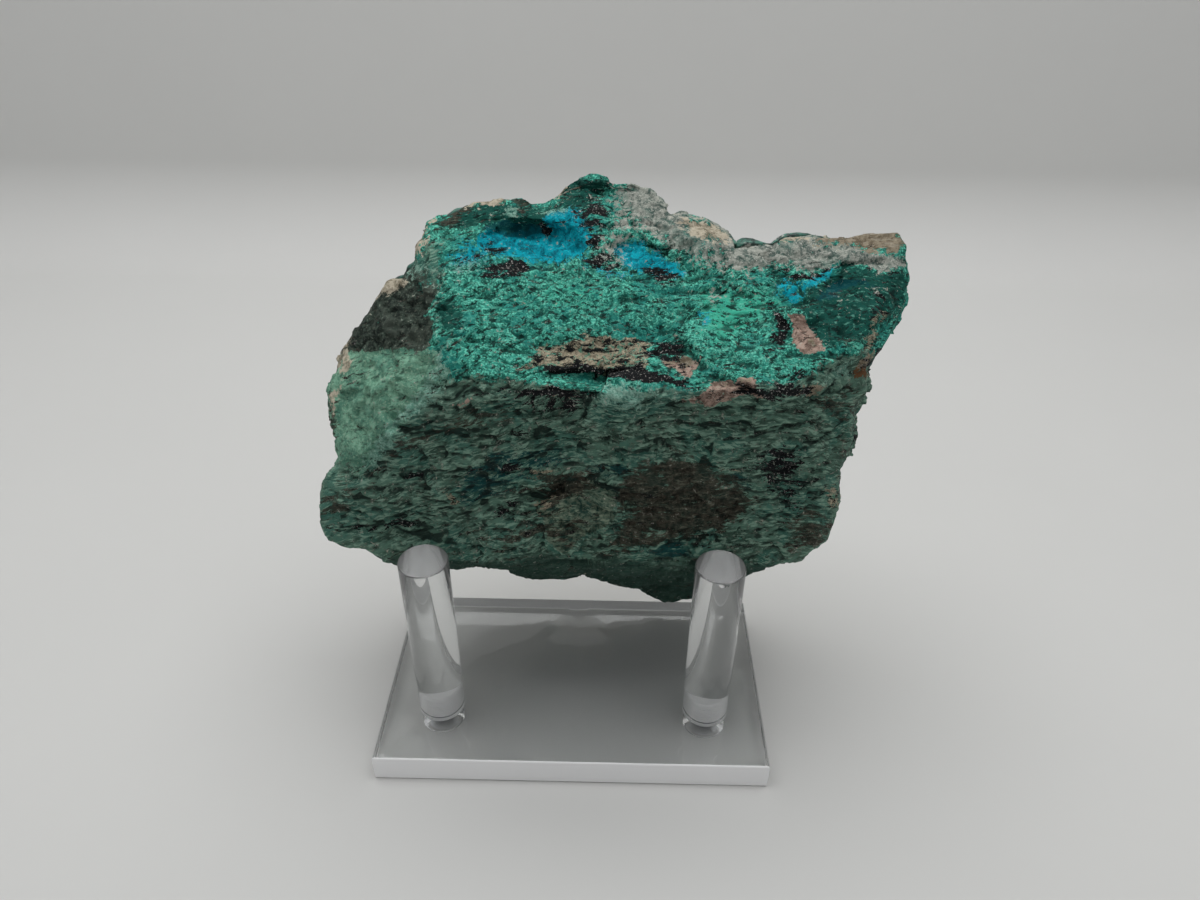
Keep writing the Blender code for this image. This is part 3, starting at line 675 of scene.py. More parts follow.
def flat_chips(points, seed):
    """A flat face in each cell, tilted its own way, with small cliffs where cells meet."""
    offset, home = nearest_seed(points, seed)
    first = seed + CHIP_SEED_STEP
    tilt = np.stack([lattice_value(home, first + axis) for axis in range(3)], axis=1) - 0.5
    return CHIP_TILT * np.sum(offset * tilt, axis=1)


def eye_axes():
    """Right, up and away, as the eye sees them."""
    away = np.array((
        math.sin(LOOK_ASIDE) * math.cos(LOOK_DOWN),
        math.cos(LOOK_ASIDE) * math.cos(LOOK_DOWN),
        -math.sin(LOOK_DOWN),
    ))
    level = np.cross(away, (0.0, 0.0, 1.0))
    level /= np.linalg.norm(level)
    upright = np.cross(level, away)
    right = level * math.cos(HEAD_TILT) + upright * math.sin(HEAD_TILT)
    return right, upright * math.cos(HEAD_TILT) - level * math.sin(HEAD_TILT), away


def along_sight(right_mm, up_mm, distance_mm):
    """The point at this distance on the sight line through a point of the outline's plane."""
    right, up, away = eye_axes()
    across = np.multiply.outer(right_mm, right) + np.multiply.outer(up_mm, up)
    reach = distance_mm[..., None] * MM
    return EYE + across / PLANE_DISTANCE * reach + away * reach


def seen_at(points):
    """Where a point is in the outline's plane, in millimetres to the right and up."""
    right, up, away = eye_axes()
    offset = points - EYE
    depth = offset @ away
    return offset @ right / depth * PLANE_DISTANCE, offset @ up / depth * PLANE_DISTANCE


def disc_grid(count):
    """A square grid wrapped onto a disc: radius from 0 to 1 and angle for each grid point."""
    line = np.linspace(-1.0, 1.0, count + 1)
    p, q = np.meshgrid(line, line, indexing="ij")
    wide = np.abs(p) >= np.abs(q)
    ratio = np.where(wide, q / np.where(p == 0, 1, p), p / np.where(q == 0, 1, q))
    angle = np.where(wide, math.pi / 4 * ratio, math.pi / 2 - math.pi / 4 * ratio)
    behind = np.where(wide, p < 0, q < 0)
    return np.maximum(np.abs(p), np.abs(q)), angle + math.pi * behind


def outline_reach(angle, blur=0.0):
    """Distance from the middle to the outline in this direction, or its mean over some spread."""
    arms = np.array(OUTLINE) - MIDDLE
    arm_angle = np.arctan2(arms[:, 1], arms[:, 0])
    order = np.argsort(arm_angle)
    length = np.hypot(arms[:, 0], arms[:, 1])
    total = 0.0
    for share in BLUR_STEPS:
        turned_angle = angle + blur * share
        total = total + np.interp(turned_angle, arm_angle[order], length[order], period=2 * math.pi)
    return total / len(BLUR_STEPS)


def place_in_plane(reach, angle):
    return MIDDLE[0] + reach * np.cos(angle), MIDDLE[1] + reach * np.sin(angle)


def break_values(breaks, right, up):
    """Distance of each flat break from the eye, one row for each break."""
    rows = []
    for (at_right, at_up), distance, (slope_right, slope_up) in breaks.values():
        rows.append(distance + slope_right * (right - at_right) + slope_up * (up - at_up))
    return np.array(rows)


def breaks_distance(breaks, right, up, side):
    """Farthest (side 1) or nearest (side -1) of the flat breaks, with rounded edges between."""
    values = side * (break_values(breaks, right, up) - MIDDLING_DISTANCE) / BREAK_ROUNDING
    powers = np.exp(np.clip(values, -LARGEST_EXPONENT, LARGEST_EXPONENT))
    return MIDDLING_DISTANCE + side * BREAK_ROUNDING * np.log(powers.sum(axis=0))


def oval_sum(ovals, right, up):
    """Sum of the soft-edged ovals: full height inside, falling to nothing across the border."""
    total = np.zeros_like(right)
    for (at_right, at_up), (half_wide, half_high), turn, height, sharpness in ovals:
        cos, sin = math.cos(math.radians(turn)), math.sin(math.radians(turn))
        x = ((right - at_right) * cos + (up - at_up) * sin) / half_wide
        y = ((up - at_up) * cos - (right - at_right) * sin) / half_high
        total += height * np.exp(-((x * x + y * y) ** sharpness))
    return total


def border_indices(count):
    """The rim of a (count + 1) square grid, once round against the clock as the eye sees it."""
    index = np.arange((count + 1) ** 2).reshape(count + 1, count + 1)
    return np.concatenate([index[:-1, 0], index[-1, :-1], index[:0:-1, -1], index[0, :0:-1]])


def stone_sheets(count):
    """The stone's front sheet, the rows round its outline, and its back sheet, as points.

    The front is the farthest of its breaks less its relief, and the back the nearest of its own
    plus its relief, over the same disc. The rows bulge out to the outline between the margins.
    """
    radius, angle = disc_grid(count)
    radius, angle = radius.ravel(), angle.ravel()
    outline = outline_reach(angle)
    back_outline = outline_reach(angle, BACK_BLUR)
    right, up = place_in_plane(radius * FRONT_MARGIN * outline, angle)
    front = breaks_distance(FRONT_BREAKS, right, up, 1)
    front = front - oval_sum(FRONT_RELIEF.values(), right, up)
    front_points = along_sight(right, up, front)
    right, up = place_in_plane(radius * BACK_MARGIN * back_outline, angle)
    fade = np.clip((1 - radius) * BACK_FADE, 0, 1)
    back = breaks_distance(BACK_BREAKS, right, up, -1)
    back = back + fade * oval_sum(BACK_RELIEF.values(), right, up)
    back = np.maximum(back, breaks_distance(FRONT_BREAKS, right, up, 1) + LEAST_THICKNESS)
    back_points = along_sight(right, up, back)
    rim = border_indices(count)
    rows = []
    for row in range(1, WALL_ROWS + 1):
        share = row / (WALL_ROWS + 1)
        inner = FRONT_MARGIN * outline[rim] * (1 - share) + BACK_MARGIN * back_outline[rim] * share
        bulge = math.sin(math.pi * math.sqrt(share)) ** WALL_BULGE
        full = outline[rim] * (1 - share) + np.minimum(outline, back_outline)[rim] * share
        right, up = place_in_plane(inner + (full - inner) * bulge, angle[rim])
        distance = front[rim] * (1 - share) + back[rim] * share
        rows.append(along_sight(right, up, distance))
    return front_points, rows, back_points


def closed_sheet(sheet, rows, count, outward):
    """A grid sheet, rows from its rim, and a hidden closing fan, as points and faces.

    outward is 1 where the sheet faces the eye and the rows run away from it, and -1 for the
    sheet behind, whose rows run towards the eye.
    """
    rim = border_indices(count)
    parts = [sheet]
    loops = [rim]
    centre = np.mean(rows[-1], axis=0)
    closing = [centre + (rows[-1] - centre) * share for share in CLOSING_SHARES]
    for row in [*rows, *closing]:
        loops.append(sum(map(len, parts)) + np.arange(len(rim)))
        parts.append(row)
    tip = sum(map(len, parts))
    parts.append(centre[None])
    index = np.arange((count + 1) ** 2).reshape(count + 1, count + 1)
    quads = np.stack([index[:-1, :-1], index[1:, :-1], index[1:, 1:], index[:-1, 1:]], axis=-1)
    faces = [quads.reshape(-1, 4)[:, ::outward]]
    for near, far in zip(loops, loops[1:]):
        band = np.stack([near, far, np.roll(far, -1), np.roll(near, -1)], axis=-1)
        faces.append(band[:, ::outward])
    last = loops[-1]
    fan = np.stack([last, np.full(len(last), tip), np.roll(last, -1)], axis=-1)[:, ::outward]
    return np.concatenate(parts), np.concatenate(faces), fan


def point_normals(points, faces):
    """Unit normals: the area-weighted mean of the faces that meet at each point."""
    corners = points[faces]
    across = np.cross(corners[:, 2] - corners[:, 0], corners[:, 3] - corners[:, 1])
    total = np.zeros_like(points)
    for axis in range(3):
        for corner in range(4):
            total[:, axis] += np.bincount(faces[:, corner], across[:, axis], len(points))
    return total / np.maximum(np.linalg.norm(total, axis=1, keepdims=True), 1e-12)


def bedding(places, right, up):
    """How far up through the rock's layers each point is, in millimetres: up, less a slope that
    starts left of a bend, plus noise that makes the layers wavy."""
    level = up - BED_SLOPE * np.minimum(right - BED_BEND_AT, 0)
    for size, reach, seed in STRATA_WARP:
        level = level + reach * smooth_noise(places / size, seed)
    return level


def patch_share(corners, border, right, up):
    """1 inside a patch with straight sides, falling smoothly to 0 at its border.

    It takes the least distance to the sides, measured inwards, over the border's width.
    """
    inside = np.full(right.shape, np.inf)
    for (from_right, from_up), (to_right, to_up) in zip(corners, corners[1:] + corners[:1]):
        along = np.array((to_right - from_right, to_up - from_up))
        along /= np.linalg.norm(along)
        inside = np.minimum(inside, along[0] * (up - from_up) - along[1] * (right - from_right))
    share = np.clip(inside / border + 0.5, 0, 1)
    return share * share * (3 - 2 * share)


def front_height(places, right, up, lower, quartz, calm):
    """Height of the broken rock in millimetres.

    Noise and flat chips of falling sizes, creases where a noise changes sign, round granules on
    the upper face, and on the lower face thin ledges: a saw-tooth of the layers' height. Quartz
    has round knobs. calm fades the finest ones out towards the rim.
    """
    height = np.zeros(len(places))
    for size, reach, seed in FRONT_ROUGHNESS:
        height += reach * smooth_noise(places / size, seed)
    for size, reach, seed in FINE_ROUGHNESS:
        height += calm * reach * smooth_noise(places / size, seed)
    for size, reach, seed in CHIPS:
        height += reach * flat_chips(places / size / CHIP_STRETCH, seed)
    for size, reach, seed in CREASES:
        narrow = np.abs(smooth_noise(places / size / CHIP_STRETCH, seed)) * CREASE_SHARPNESS
        height -= reach * np.clip(1 - narrow, 0, 1)
    for size, reach, seed in GRANULES:
        share = calm * (1 - FEWER_GRANULES_BELOW * lower)
        height += share * reach * rounded_lumps(places / size, seed)
    for size, reach, seed in QUARTZ_KNOBS:
        height += quartz * reach * rounded_lumps(places / size, seed)
    level = bedding(places, right, up)
    for spacing, reach, shift in STRATA:
        tooth = (level / spacing + shift) % 1.0
        ledge = np.minimum(tooth / LEDGE_RISE, (1 - tooth) / LEDGE_FALL)
        share = calm * (STRATA_ABOVE + (1 - STRATA_ABOVE) * lower)
        height += share * reach * (ledge - 0.5)
    flake = patch_share(*PATCHES["flake"][0], right, up)
    return height + flake * (FLAKE_HEIGHT + FLAKE_RISE * (right - FLAKE_START))


def crust_height(places):
    """Height of the quartz crust in millimetres: cones round random seeds, of falling sizes."""
    return sum(
        reach * rounded_lumps(places / size, seed) for size, reach, seed in CRUST_LUMPS
    )


def seated(points):
    """The stone set against the stand: a hollow behind each peg, and nothing below the plate's top."""
    points = points.copy()
    for peg_x, peg_y in PEG_AXES.values():
        beside = np.clip(points[:, 0] - peg_x, -PEG_RADIUS, PEG_RADIUS)
        peg_back = peg_y + np.sqrt(PEG_RADIUS**2 - beside**2) + SEAT_GAP
        touch = np.abs(points[:, 0] - peg_x) < PEG_RADIUS + SEAT_GAP
        touch &= points[:, 2] < PEG_TOP + SEAT_GAP
        near = touch & (points[:, 1] < peg_y + PEG_SEAT_BEHIND)
        if not near.any():
            continue
        shift = np.max(peg_back[near] - points[near, 1])
        away = np.hypot(points[:, 0] - peg_x, points[:, 2] - PEG_TOP) / PEG_SEAT_REACH
        front_part = points[:, 1] < peg_y + PEG_SHIFT_BEHIND
        points[:, 1] += shift * np.exp(-(away**4)) * front_part
    foot_level = PLATE_TOP + SEAT_GAP
    points[:, 2] = np.maximum(points[:, 2], foot_level)
    foot = points[:, 2] < foot_level + GAP
    limit = PLATE_HIGH[1] - FOOT_FROM_BACK_EDGE
    points[foot, 1] = np.minimum(points[foot, 1], limit)
    return points


def new_piece(name, points, faces, extra_faces=(), smooth=True):
    """A mesh object from arrays of points and four-sided faces, and three-sided ones if given."""
    mesh = bpy.data.meshes.new(name)
    extra_faces = np.array(extra_faces, dtype=np.int64).reshape(-1, 3)
    corners = np.concatenate([faces.ravel(), extra_faces.ravel()])
    totals = np.concatenate([
        np.full(len(faces), faces.shape[1]), np.full(len(extra_faces), 3)
    ])
    mesh.vertices.add(len(points))
    mesh.vertices.foreach_set("co", points.astype(np.float32).ravel())
    mesh.loops.add(len(corners))
    mesh.loops.foreach_set("vertex_index", corners.astype(np.int32))
    mesh.polygons.add(len(totals))
    mesh.polygons.foreach_set("loop_start", (np.cumsum(totals) - totals).astype(np.int32))
    mesh.polygons.foreach_set("loop_total", totals.astype(np.int32))
    mesh.polygons.foreach_set("use_smooth", np.full(len(totals), smooth))
    mesh.update(calc_edges=True)
    mesh.validate()
    piece = bpy.data.objects.new(name, mesh)
    bpy.context.scene.collection.objects.link(piece)
    return piece


def paint_zone(piece, name, values):
    attribute = piece.data.attributes.new(name, "FLOAT", "POINT")
    attribute.data.foreach_set("value", values.astype(np.float32))


def paint_directions(piece, name, values):
    attribute = piece.data.attributes.new(name, "FLOAT_VECTOR", "POINT")
    attribute.data.foreach_set("vector", values.astype(np.float32).ravel())


def face_facts(piece):
    """The middle and the direction of each face."""
    found = []
    for fact in ("center", "normal"):
        values = np.empty(len(piece.data.polygons) * 3)
        piece.data.polygons.foreach_get(fact, values)
        found.append(values.reshape(-1, 3))
    return found


def finish_piece(piece, material, slot, *nodes):
    piece.data.materials.append(material)
    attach(piece, "root")
    if nodes:
        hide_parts(*nodes)


def sizes():
    return bpy.context.scene.specimen_sizes


def break_share(right, up, *names):
    """How much of the surface there belongs to the named front breaks, from 0 to 1."""
    values = break_values(FRONT_BREAKS, right, up) / ZONE_BLEND
    weights = np.exp(values - values.max(axis=0))
    picked = [list(FRONT_BREAKS).index(name) for name in names]
    return weights[picked].sum(axis=0) / weights.sum(axis=0)


def warped_view(points):
    """Where the eye sees each point, shifted by noise so that no border runs straight."""
    right, up = seen_at(points)
    for size, reach, seed in ZONE_WARP:
        right = right + reach * smooth_noise(points / MM / size, seed)
        up = up + reach * ZONE_WARP_UP * smooth_noise(points / MM / size, seed + 1)
    return right, up


def rock_zones(points):
    """Every zone of the rock that its colours follow, worked out from where the eye sees it."""
    right, up = warped_view(points)
    zones = {name: oval_sum(ovals, right, up) for name, ovals in MINERALS.items()}
    for name, patches in PATCHES.items():
        shares = [patch_share(corners, border, right, up) for corners, border in patches]
        zones[name] = np.maximum(zones.get(name, 0), np.max(shares, axis=0))
    zones["lower"] = break_share(right, up, "lower_left", "lower_right", "corner", "underside")
    zones["left_end"] = break_share(right, up, "left_end")
    zones["shoulder"] = break_share(right, up, "shoulder")
    zones["underside"] = break_share(right, up, "underside")
    over = np.clip((up - SHOULDER_FOOT[0]) / (SHOULDER_FOOT[1] - SHOULDER_FOOT[0]), 0, 1)
    zones["left_end"] += zones["shoulder"] * (1 - over)
    hump = np.clip(oval_sum(GREEN_HUMP, right, up), 0, 1)
    zones["shoulder"] *= over * (1 - hump)
    zones["left_end"] *= 1 - hump * over
    return zones


def bed_places(points):
    """Places for patterns that follow the layers: along, up through them, and away, in metres."""
    right, up = seen_at(points)
    return np.stack([right * MM, bedding(points / MM, right, up) * MM, points[:, 1]], axis=1)


def cavities(heights, faces):
    """How deep each point lies below the mean height round it, in millimetres.

    The mean is taken over each face and then over each point's faces, again and again.
    """
    mean = heights
    for _ in range(CAVITY_SPREADS):
        total = np.zeros_like(mean)
        weight = np.zeros_like(mean)
        face_mean = mean[faces].mean(axis=1)
        for corner in range(4):
            total += np.bincount(faces[:, corner], face_mean, len(mean))
            weight += np.bincount(faces[:, corner], minlength=len(mean))
        mean = total / np.maximum(weight, 1)
    return mean - heights


def rock_material():
    """Broken chrysocolla: green grain, blue pocket, black and beige patches, pale rims, with painted
    shade in crevices and hollows and painted highlights on crests.
    """
    paint = Paint("chrysocolla")
    bed = paint.vector_zone("bed")
    layered = paint.scaled(bed, (0.28, 1.0, 0.28))
    fine = paint.noise(0.42, 4, 0.7)
    specks = paint.noise(0.75, 3, 0.7, 0.0, paint.scaled(bed, (0.55, 1.0, 0.55)))
    grain = paint.noise(1.3, 6, 0.72, 0.4)
    streaks = paint.noise(1.5, 6, 0.7, 0.3, layered)
    threads = paint.noise(0.42, 4, 0.65, 0.2, layered)
    veins = paint.noise(0.95, 6, 0.75, 0.2, paint.scaled(bed, (0.4, 1.0, 0.4)))
    patches = paint.noise(7.0, 4, 0.6, 0.3)
    border = paint.noise(1.3, 6, 0.8, 0.3)
    long_border = paint.noise(1.1, 6, 0.8, 0.3, layered)
    depth = paint.zone("cavity")
    lower, left_end = paint.zone("lower"), paint.zone("left_end")
    shoulder, underside = paint.zone("shoulder"), paint.zone("underside")
    # deep marks where the surface lies below its surroundings, for painted shade in crevices
    deep = paint.ramp(depth, 0.05, 0.32)
    # Painted highlight: where the surface stands above its surroundings
    crest_highlight = paint.ramp(depth, -0.05, -0.22)

    green = paint.two_tone(grain, 0.42, 0.58, (0.010, 0.115, 0.085), sizes().green)
    # Mint specks of the stone's own, with a painted highlight on the crests added
    green = paint.cover(green, fine + crest_highlight * 0.05, 0.52, 0.61, (0.14, 0.60, 0.45))
    green = paint.cover(green, patches, 0.50, 0.62, (0.010, 0.19, 0.165), 0.6)
    green = paint.lay(green, "mint", border, 3.6, (0.05, 0.42, 0.29))
    green = paint.lay(green, "teal", border, 2.6, (0.006, 0.075, 0.058))
    green = paint.cover(green, threads, 0.57, 0.63, (0.22, 0.62, 0.48), 0.4)
    green = paint.cover(green, specks, 0.555, 0.59, (0.003, 0.015, 0.014), 0.9)
    # Painted shade: crevices of the upper face darkened to near-black green
    green = paint.mix(deep * 0.75, green, (0.003, 0.030, 0.024))

    dull = paint.two_tone(streaks, 0.42, 0.58, (0.046, 0.092, 0.068), (0.110, 0.215, 0.160))
    dull = paint.cover(dull, patches, 0.48, 0.60, (0.034, 0.155, 0.122), 0.5)
    dull = paint.cover(dull, grain, 0.54, 0.62, (0.130, 0.135, 0.104), 0.6)
    # Pale threads of the stone's own, with a painted highlight on the crests added
    dull = paint.cover(dull, threads + crest_highlight * 0.06, 0.53, 0.62, (0.27, 0.43, 0.33), 0.7)
    dull = paint.lay(dull, "deep", long_border, 3.2, (0.008, 0.062, 0.060))
    dull = paint.cover(dull, veins, 0.57, 0.64, (0.010, 0.015, 0.014), 0.7)
    # Painted shade: crevices of the lower face darkened to near black
    dull = paint.mix(deep * 0.8, dull, (0.008, 0.014, 0.013))
    color = paint.mix(paint.broken(lower + left_end, border, 3.0), green, dull)

    muted = paint.two_tone(grain, 0.40, 0.60, (0.10, 0.245, 0.170), (0.22, 0.44, 0.31))
    muted = paint.cover(muted, patches, 0.46, 0.60, (0.055, 0.185, 0.135), 0.5)
    muted = paint.cover(muted, fine, 0.54, 0.64, (0.38, 0.54, 0.39), 0.6)
    muted = paint.cover(muted, specks, 0.575, 0.63, (0.02, 0.035, 0.03), 0.6)
    color = paint.mix(paint.broken(left_end + shoulder, border, 2.6), color, muted)
    color = paint.lay(color, "lobe", border, 3.0, dull, 0.85)
    dark = paint.two_tone(grain, 0.42, 0.62, (0.010, 0.016, 0.013), (0.06, 0.085, 0.066))
    dark = paint.cover(dark, patches, 0.50, 0.58, (0.085, 0.105, 0.085), 0.5)
    dark = paint.cover(dark, fine, 0.56, 0.68, (0.17, 0.19, 0.15), 0.7)
    color = paint.mix(paint.broken(shoulder, border, 2.6), color, dark)
    color = paint.mix(underside * 0.85, color, (0.018, 0.045, 0.034))

    blue = paint.two_tone(grain, 0.40, 0.58, (0.0, 0.125, 0.170), sizes().azure)
    blue = paint.cover(blue, fine, 0.54, 0.64, (0.004, 0.52, 0.62), 0.7)
    color = paint.lay(color, "azure", border, 3.4, blue)
    # Painted shade: the inside of the blue hollow and the teal hollow darkened
    color = paint.lay(color, "shade", border, 1.6, (0.0, 0.062, 0.075), 0.8)
    frost = paint.two_tone(fine, 0.42, 0.60, (0.12, 0.28, 0.22), (0.30, 0.50, 0.41))
    color = paint.lay(color, "frost", border, 4.0, frost, 0.8)
    flake = paint.two_tone(grain, 0.42, 0.56, (0.018, 0.052, 0.040), (0.135, 0.185, 0.130))
    flake = paint.cover(flake, threads, 0.54, 0.62, (0.30, 0.35, 0.25), 0.7)
    color = paint.lay(color, "flake", border, 2.2, flake, 0.85)
    brown = paint.two_tone(grain, 0.40, 0.60, (0.012, 0.011, 0.008), (0.070, 0.060, 0.044))
    brown = paint.cover(brown, patches, 0.50, 0.58, (0.030, 0.045, 0.034), 0.5)
    brown = paint.cover(brown, threads, 0.56, 0.66, (0.20, 0.175, 0.13), 0.5)
    color = paint.lay(color, "brown", long_border, 4.8, brown, 0.9)
    beige = paint.two_tone(fine, 0.40, 0.60, (0.19, 0.165, 0.115), (0.42, 0.37, 0.27))
    beige = paint.cover(beige, grain, 0.53, 0.57, (0.035, 0.25, 0.17), 0.75)
    beige = paint.cover(beige, veins, 0.505, 0.535, (0.005, 0.006, 0.006))
    color = paint.lay(color, "beige", long_border, 4.4, beige)
    pink = paint.two_tone(grain, 0.42, 0.58, (0.17, 0.115, 0.09), (0.42, 0.30, 0.245))
    pink = paint.cover(pink, fine, 0.55, 0.63, (0.44, 0.40, 0.33), 0.6)
    pink = paint.cover(pink, veins, 0.56, 0.60, (0.02, 0.018, 0.016), 0.8)
    color = paint.lay(color, "pink", border, 2.4, pink)
    tan = paint.two_tone(grain, 0.40, 0.60, (0.115, 0.09, 0.06), (0.27, 0.23, 0.165))
    tan = paint.cover(tan, threads, 0.52, 0.60, (0.36, 0.33, 0.26), 0.5)
    color = paint.lay(color, "tan", border, 2.6, tan)
    soot = paint.two_tone(fine, 0.60, 0.64, (0.005, 0.006, 0.007), (0.42, 0.40, 0.38))
    color = paint.lay(color, "black", long_border, 4.2, soot)
    quartz = paint.two_tone(grain, 0.38, 0.60, (0.060, 0.095, 0.082), (0.36, 0.375, 0.33))
    quartz = paint.cover(quartz, patches, 0.48, 0.60, (0.10, 0.19, 0.155), 0.45)
    quartz = paint.cover(quartz, fine, 0.55, 0.67, (0.60, 0.60, 0.54), 0.9)
    bare_of_tan = 1 - paint.broken(paint.zone("tan"), border, 2.6)
    color = paint.mix(paint.broken(paint.zone("quartz"), border, 3.8) * bare_of_tan, color, quartz)
    color = paint.lay(color, "rust", border, 3.0, (0.12, 0.058, 0.024))
    cream = paint.two_tone(grain, 0.38, 0.60, (0.16, 0.14, 0.095), (0.50, 0.45, 0.35))
    color = paint.lay(color, "pale_rim", border, 3.0, cream)
    relief = fine * 0.6 + grain * 0.7 + specks * -0.3
    normal = paint.bump(relief, 0.35)
    rough = paint.ramp(fine, 0.3, 0.7, 0.6, 0.85)
    return paint.set(
        Base_Color=color, Roughness=rough, Specular_IOR_Level=0.12, Normal=normal
    )


def crust_material():
    """The pale quartz crust: milky grey and cream grain with green and rust stains, and painted shade
    in its hollows.
    """
    paint = Paint("quartz crust")
    grain = paint.noise(1.6, 4, 0.6)
    patches = paint.noise(14.0, 4, 0.6, 0.5)
    stains = paint.noise(20.0, 3, 0.5)
    color = paint.two_tone(grain, 0.36, 0.62, (0.27, 0.28, 0.25), sizes().quartz)
    # Painted shade: hollows of the crust darkened
    color = paint.cover(color, paint.zone("cavity"), 0.05, 0.5, (0.09, 0.10, 0.08), 0.6)
    color = paint.cover(color, patches, 0.52, 0.66, (0.10, 0.26, 0.20), 0.7)
    color = paint.cover(color, stains, 0.56, 0.68, (0.33, 0.22, 0.12), 0.7)
    seam = paint.noise(2.4, 6, 0.8, 0.3)
    green = paint.two_tone(grain, 0.42, 0.60, (0.012, 0.035, 0.028), (0.045, 0.17, 0.125))
    color = paint.mix(paint.broken(paint.zone("seam") * 0.9, seam, 3.0), color, green)
    normal = paint.bump(grain + paint.cells(0.9) * 0.6, 0.3)
    rough = paint.ramp(grain, 0.3, 0.7, 0.35, 0.6)
    return paint.set(Base_Color=color, Roughness=rough, Normal=normal)


def crystal_material():
    """Small quartz points: milky, partly see-through."""
    paint = Paint("quartz points")
    cloud = paint.noise(2.5, 3, 0.6)
    color = paint.two_tone(cloud, 0.4, 0.65, (0.66, 0.64, 0.57), (0.86, 0.86, 0.83))
    rough = paint.ramp(cloud, 0.3, 0.7, 0.12, 0.3)
    return paint.set(
        Base_Color=color, Roughness=rough, IOR=QUARTZ_BENDING, Transmission_Weight=0.45,
        Normal=paint.bump(cloud, 0.05),
    )


def acrylic_material():
    """Polished clear acrylic with faint handling marks."""
    paint = Paint("clear acrylic")
    smears = paint.noise(18.0, 3, 0.6, 0.8)
    rough = paint.ramp(smears, 0.45, 0.75, 0.0, 0.05)
    tint = paint.two_tone(smears, 0.3, 0.7, (0.985, 0.995, 0.992), (0.975, 0.988, 0.985))
    return paint.set(Base_Color=tint, Roughness=rough, IOR=ACRYLIC_BENDING, Transmission_Weight=0.94)


def cut_acrylic_material(name, clearness, low_rough, high_rough):
    """Acrylic where it was sawn or drilled: the same clear stuff with a cut surface."""
    paint = Paint(name)
    cuts = paint.noise(0.3, 3, 0.6, 0.0, paint.scaled(paint.place, (1.0, 1.0, 3.0)))
    return paint.set(
        Base_Color=paint.mix(cuts, (0.96, 0.96, 0.96), (0.98, 0.98, 0.98)),
        Roughness=paint.ramp(cuts, 0.3, 0.7, low_rough, high_rough),
        IOR=ACRYLIC_BENDING, Transmission_Weight=clearness, Normal=paint.bump(cuts, 0.015),
    )


def steel_material():
    """Threads of dark steel, painted near black as shade as well, and a bright turned head."""
    paint = Paint("dark steel")
    wear = paint.noise(1.2, 4, 0.65)
    # Near-black threads: partly dark steel, partly painted shade
    color = paint.two_tone(wear, 0.5, 0.75, (0.022, 0.026, 0.032), (0.12, 0.13, 0.14))
    bright = paint.mix(wear, (0.62, 0.63, 0.64), (0.80, 0.80, 0.80))
    color = paint.mix(paint.zone("head"), color, bright)
    rough = paint.ramp(wear, 0.35, 0.7, 0.28, 0.5)
    return paint.set(
        Base_Color=color, Roughness=rough, Metallic=1.0, Normal=paint.bump(wear, 0.03)
    )


def roughen(points, faces, height, reach):
    """Points pushed along their normals by a height in millimetres."""
    return points + point_normals(points, faces) * (height * reach * MM)[:, None]


def crystal_cluster(centres, normals, lengths, widths, seed):
    """Many quartz crystals at once: a six-sided prism with a six-sided point.

    Each stands on its centre along the normal leant by a random amount. Its corners are the
    centre plus height times the lean direction plus width times the cosine and sine of its
    angle along two directions across.
    """
    random = np.random.default_rng(seed)
    lean = normals + random.normal(0.0, CRYSTAL_LEAN, normals.shape)
    lean /= np.linalg.norm(lean, axis=1, keepdims=True)
    helper = np.where(np.abs(lean[:, 2:]) < 0.9, (0.0, 0.0, 1.0), (1.0, 0.0, 0.0))
    across = np.cross(lean, helper)
    across /= np.linalg.norm(across, axis=1, keepdims=True)
    other = np.cross(lean, across)
    turn = random.uniform(0, math.pi, (len(centres), 1))
    angle = np.arange(CRYSTAL_SIDES) * math.pi / 3 + turn
    ring = across[:, None] * np.cos(angle)[..., None] + other[:, None] * np.sin(angle)[..., None]
    ring = ring * (widths[:, None] * random.uniform(*CRYSTAL_UNEVEN, angle.shape))[..., None]
    sunk = centres - lean * (lengths * CRYSTAL_SUNK)[:, None]
    shoulder = centres + lean * (lengths * CRYSTAL_SHOULDER)[:, None]
    tip = centres + lean * lengths[:, None]
    low_ring, high_ring = sunk[:, None] + ring, shoulder[:, None] + ring * CRYSTAL_TAPER
    corners = np.concatenate([low_ring, high_ring, tip[:, None], sunk[:, None]], axis=1)
    around = np.arange(CRYSTAL_SIDES)
    following = (around + 1) % CRYSTAL_SIDES
    high, next_high = around + CRYSTAL_SIDES, following + CRYSTAL_SIDES
    walls = np.stack([around, following, next_high, high], axis=1)
    point = np.stack([high, next_high, np.full(CRYSTAL_SIDES, CRYSTAL_POINTS - 2)], axis=1)
    base = np.stack([following, around, np.full(CRYSTAL_SIDES, CRYSTAL_POINTS - 1)], axis=1)
    first = np.arange(len(centres))[:, None, None] * CRYSTAL_POINTS
    quads = (walls[None] + first).reshape(-1, 4)
    triangles = (np.concatenate([point, base])[None] + first).reshape(-1, 3)
    return corners.reshape(-1, 3), quads, triangles


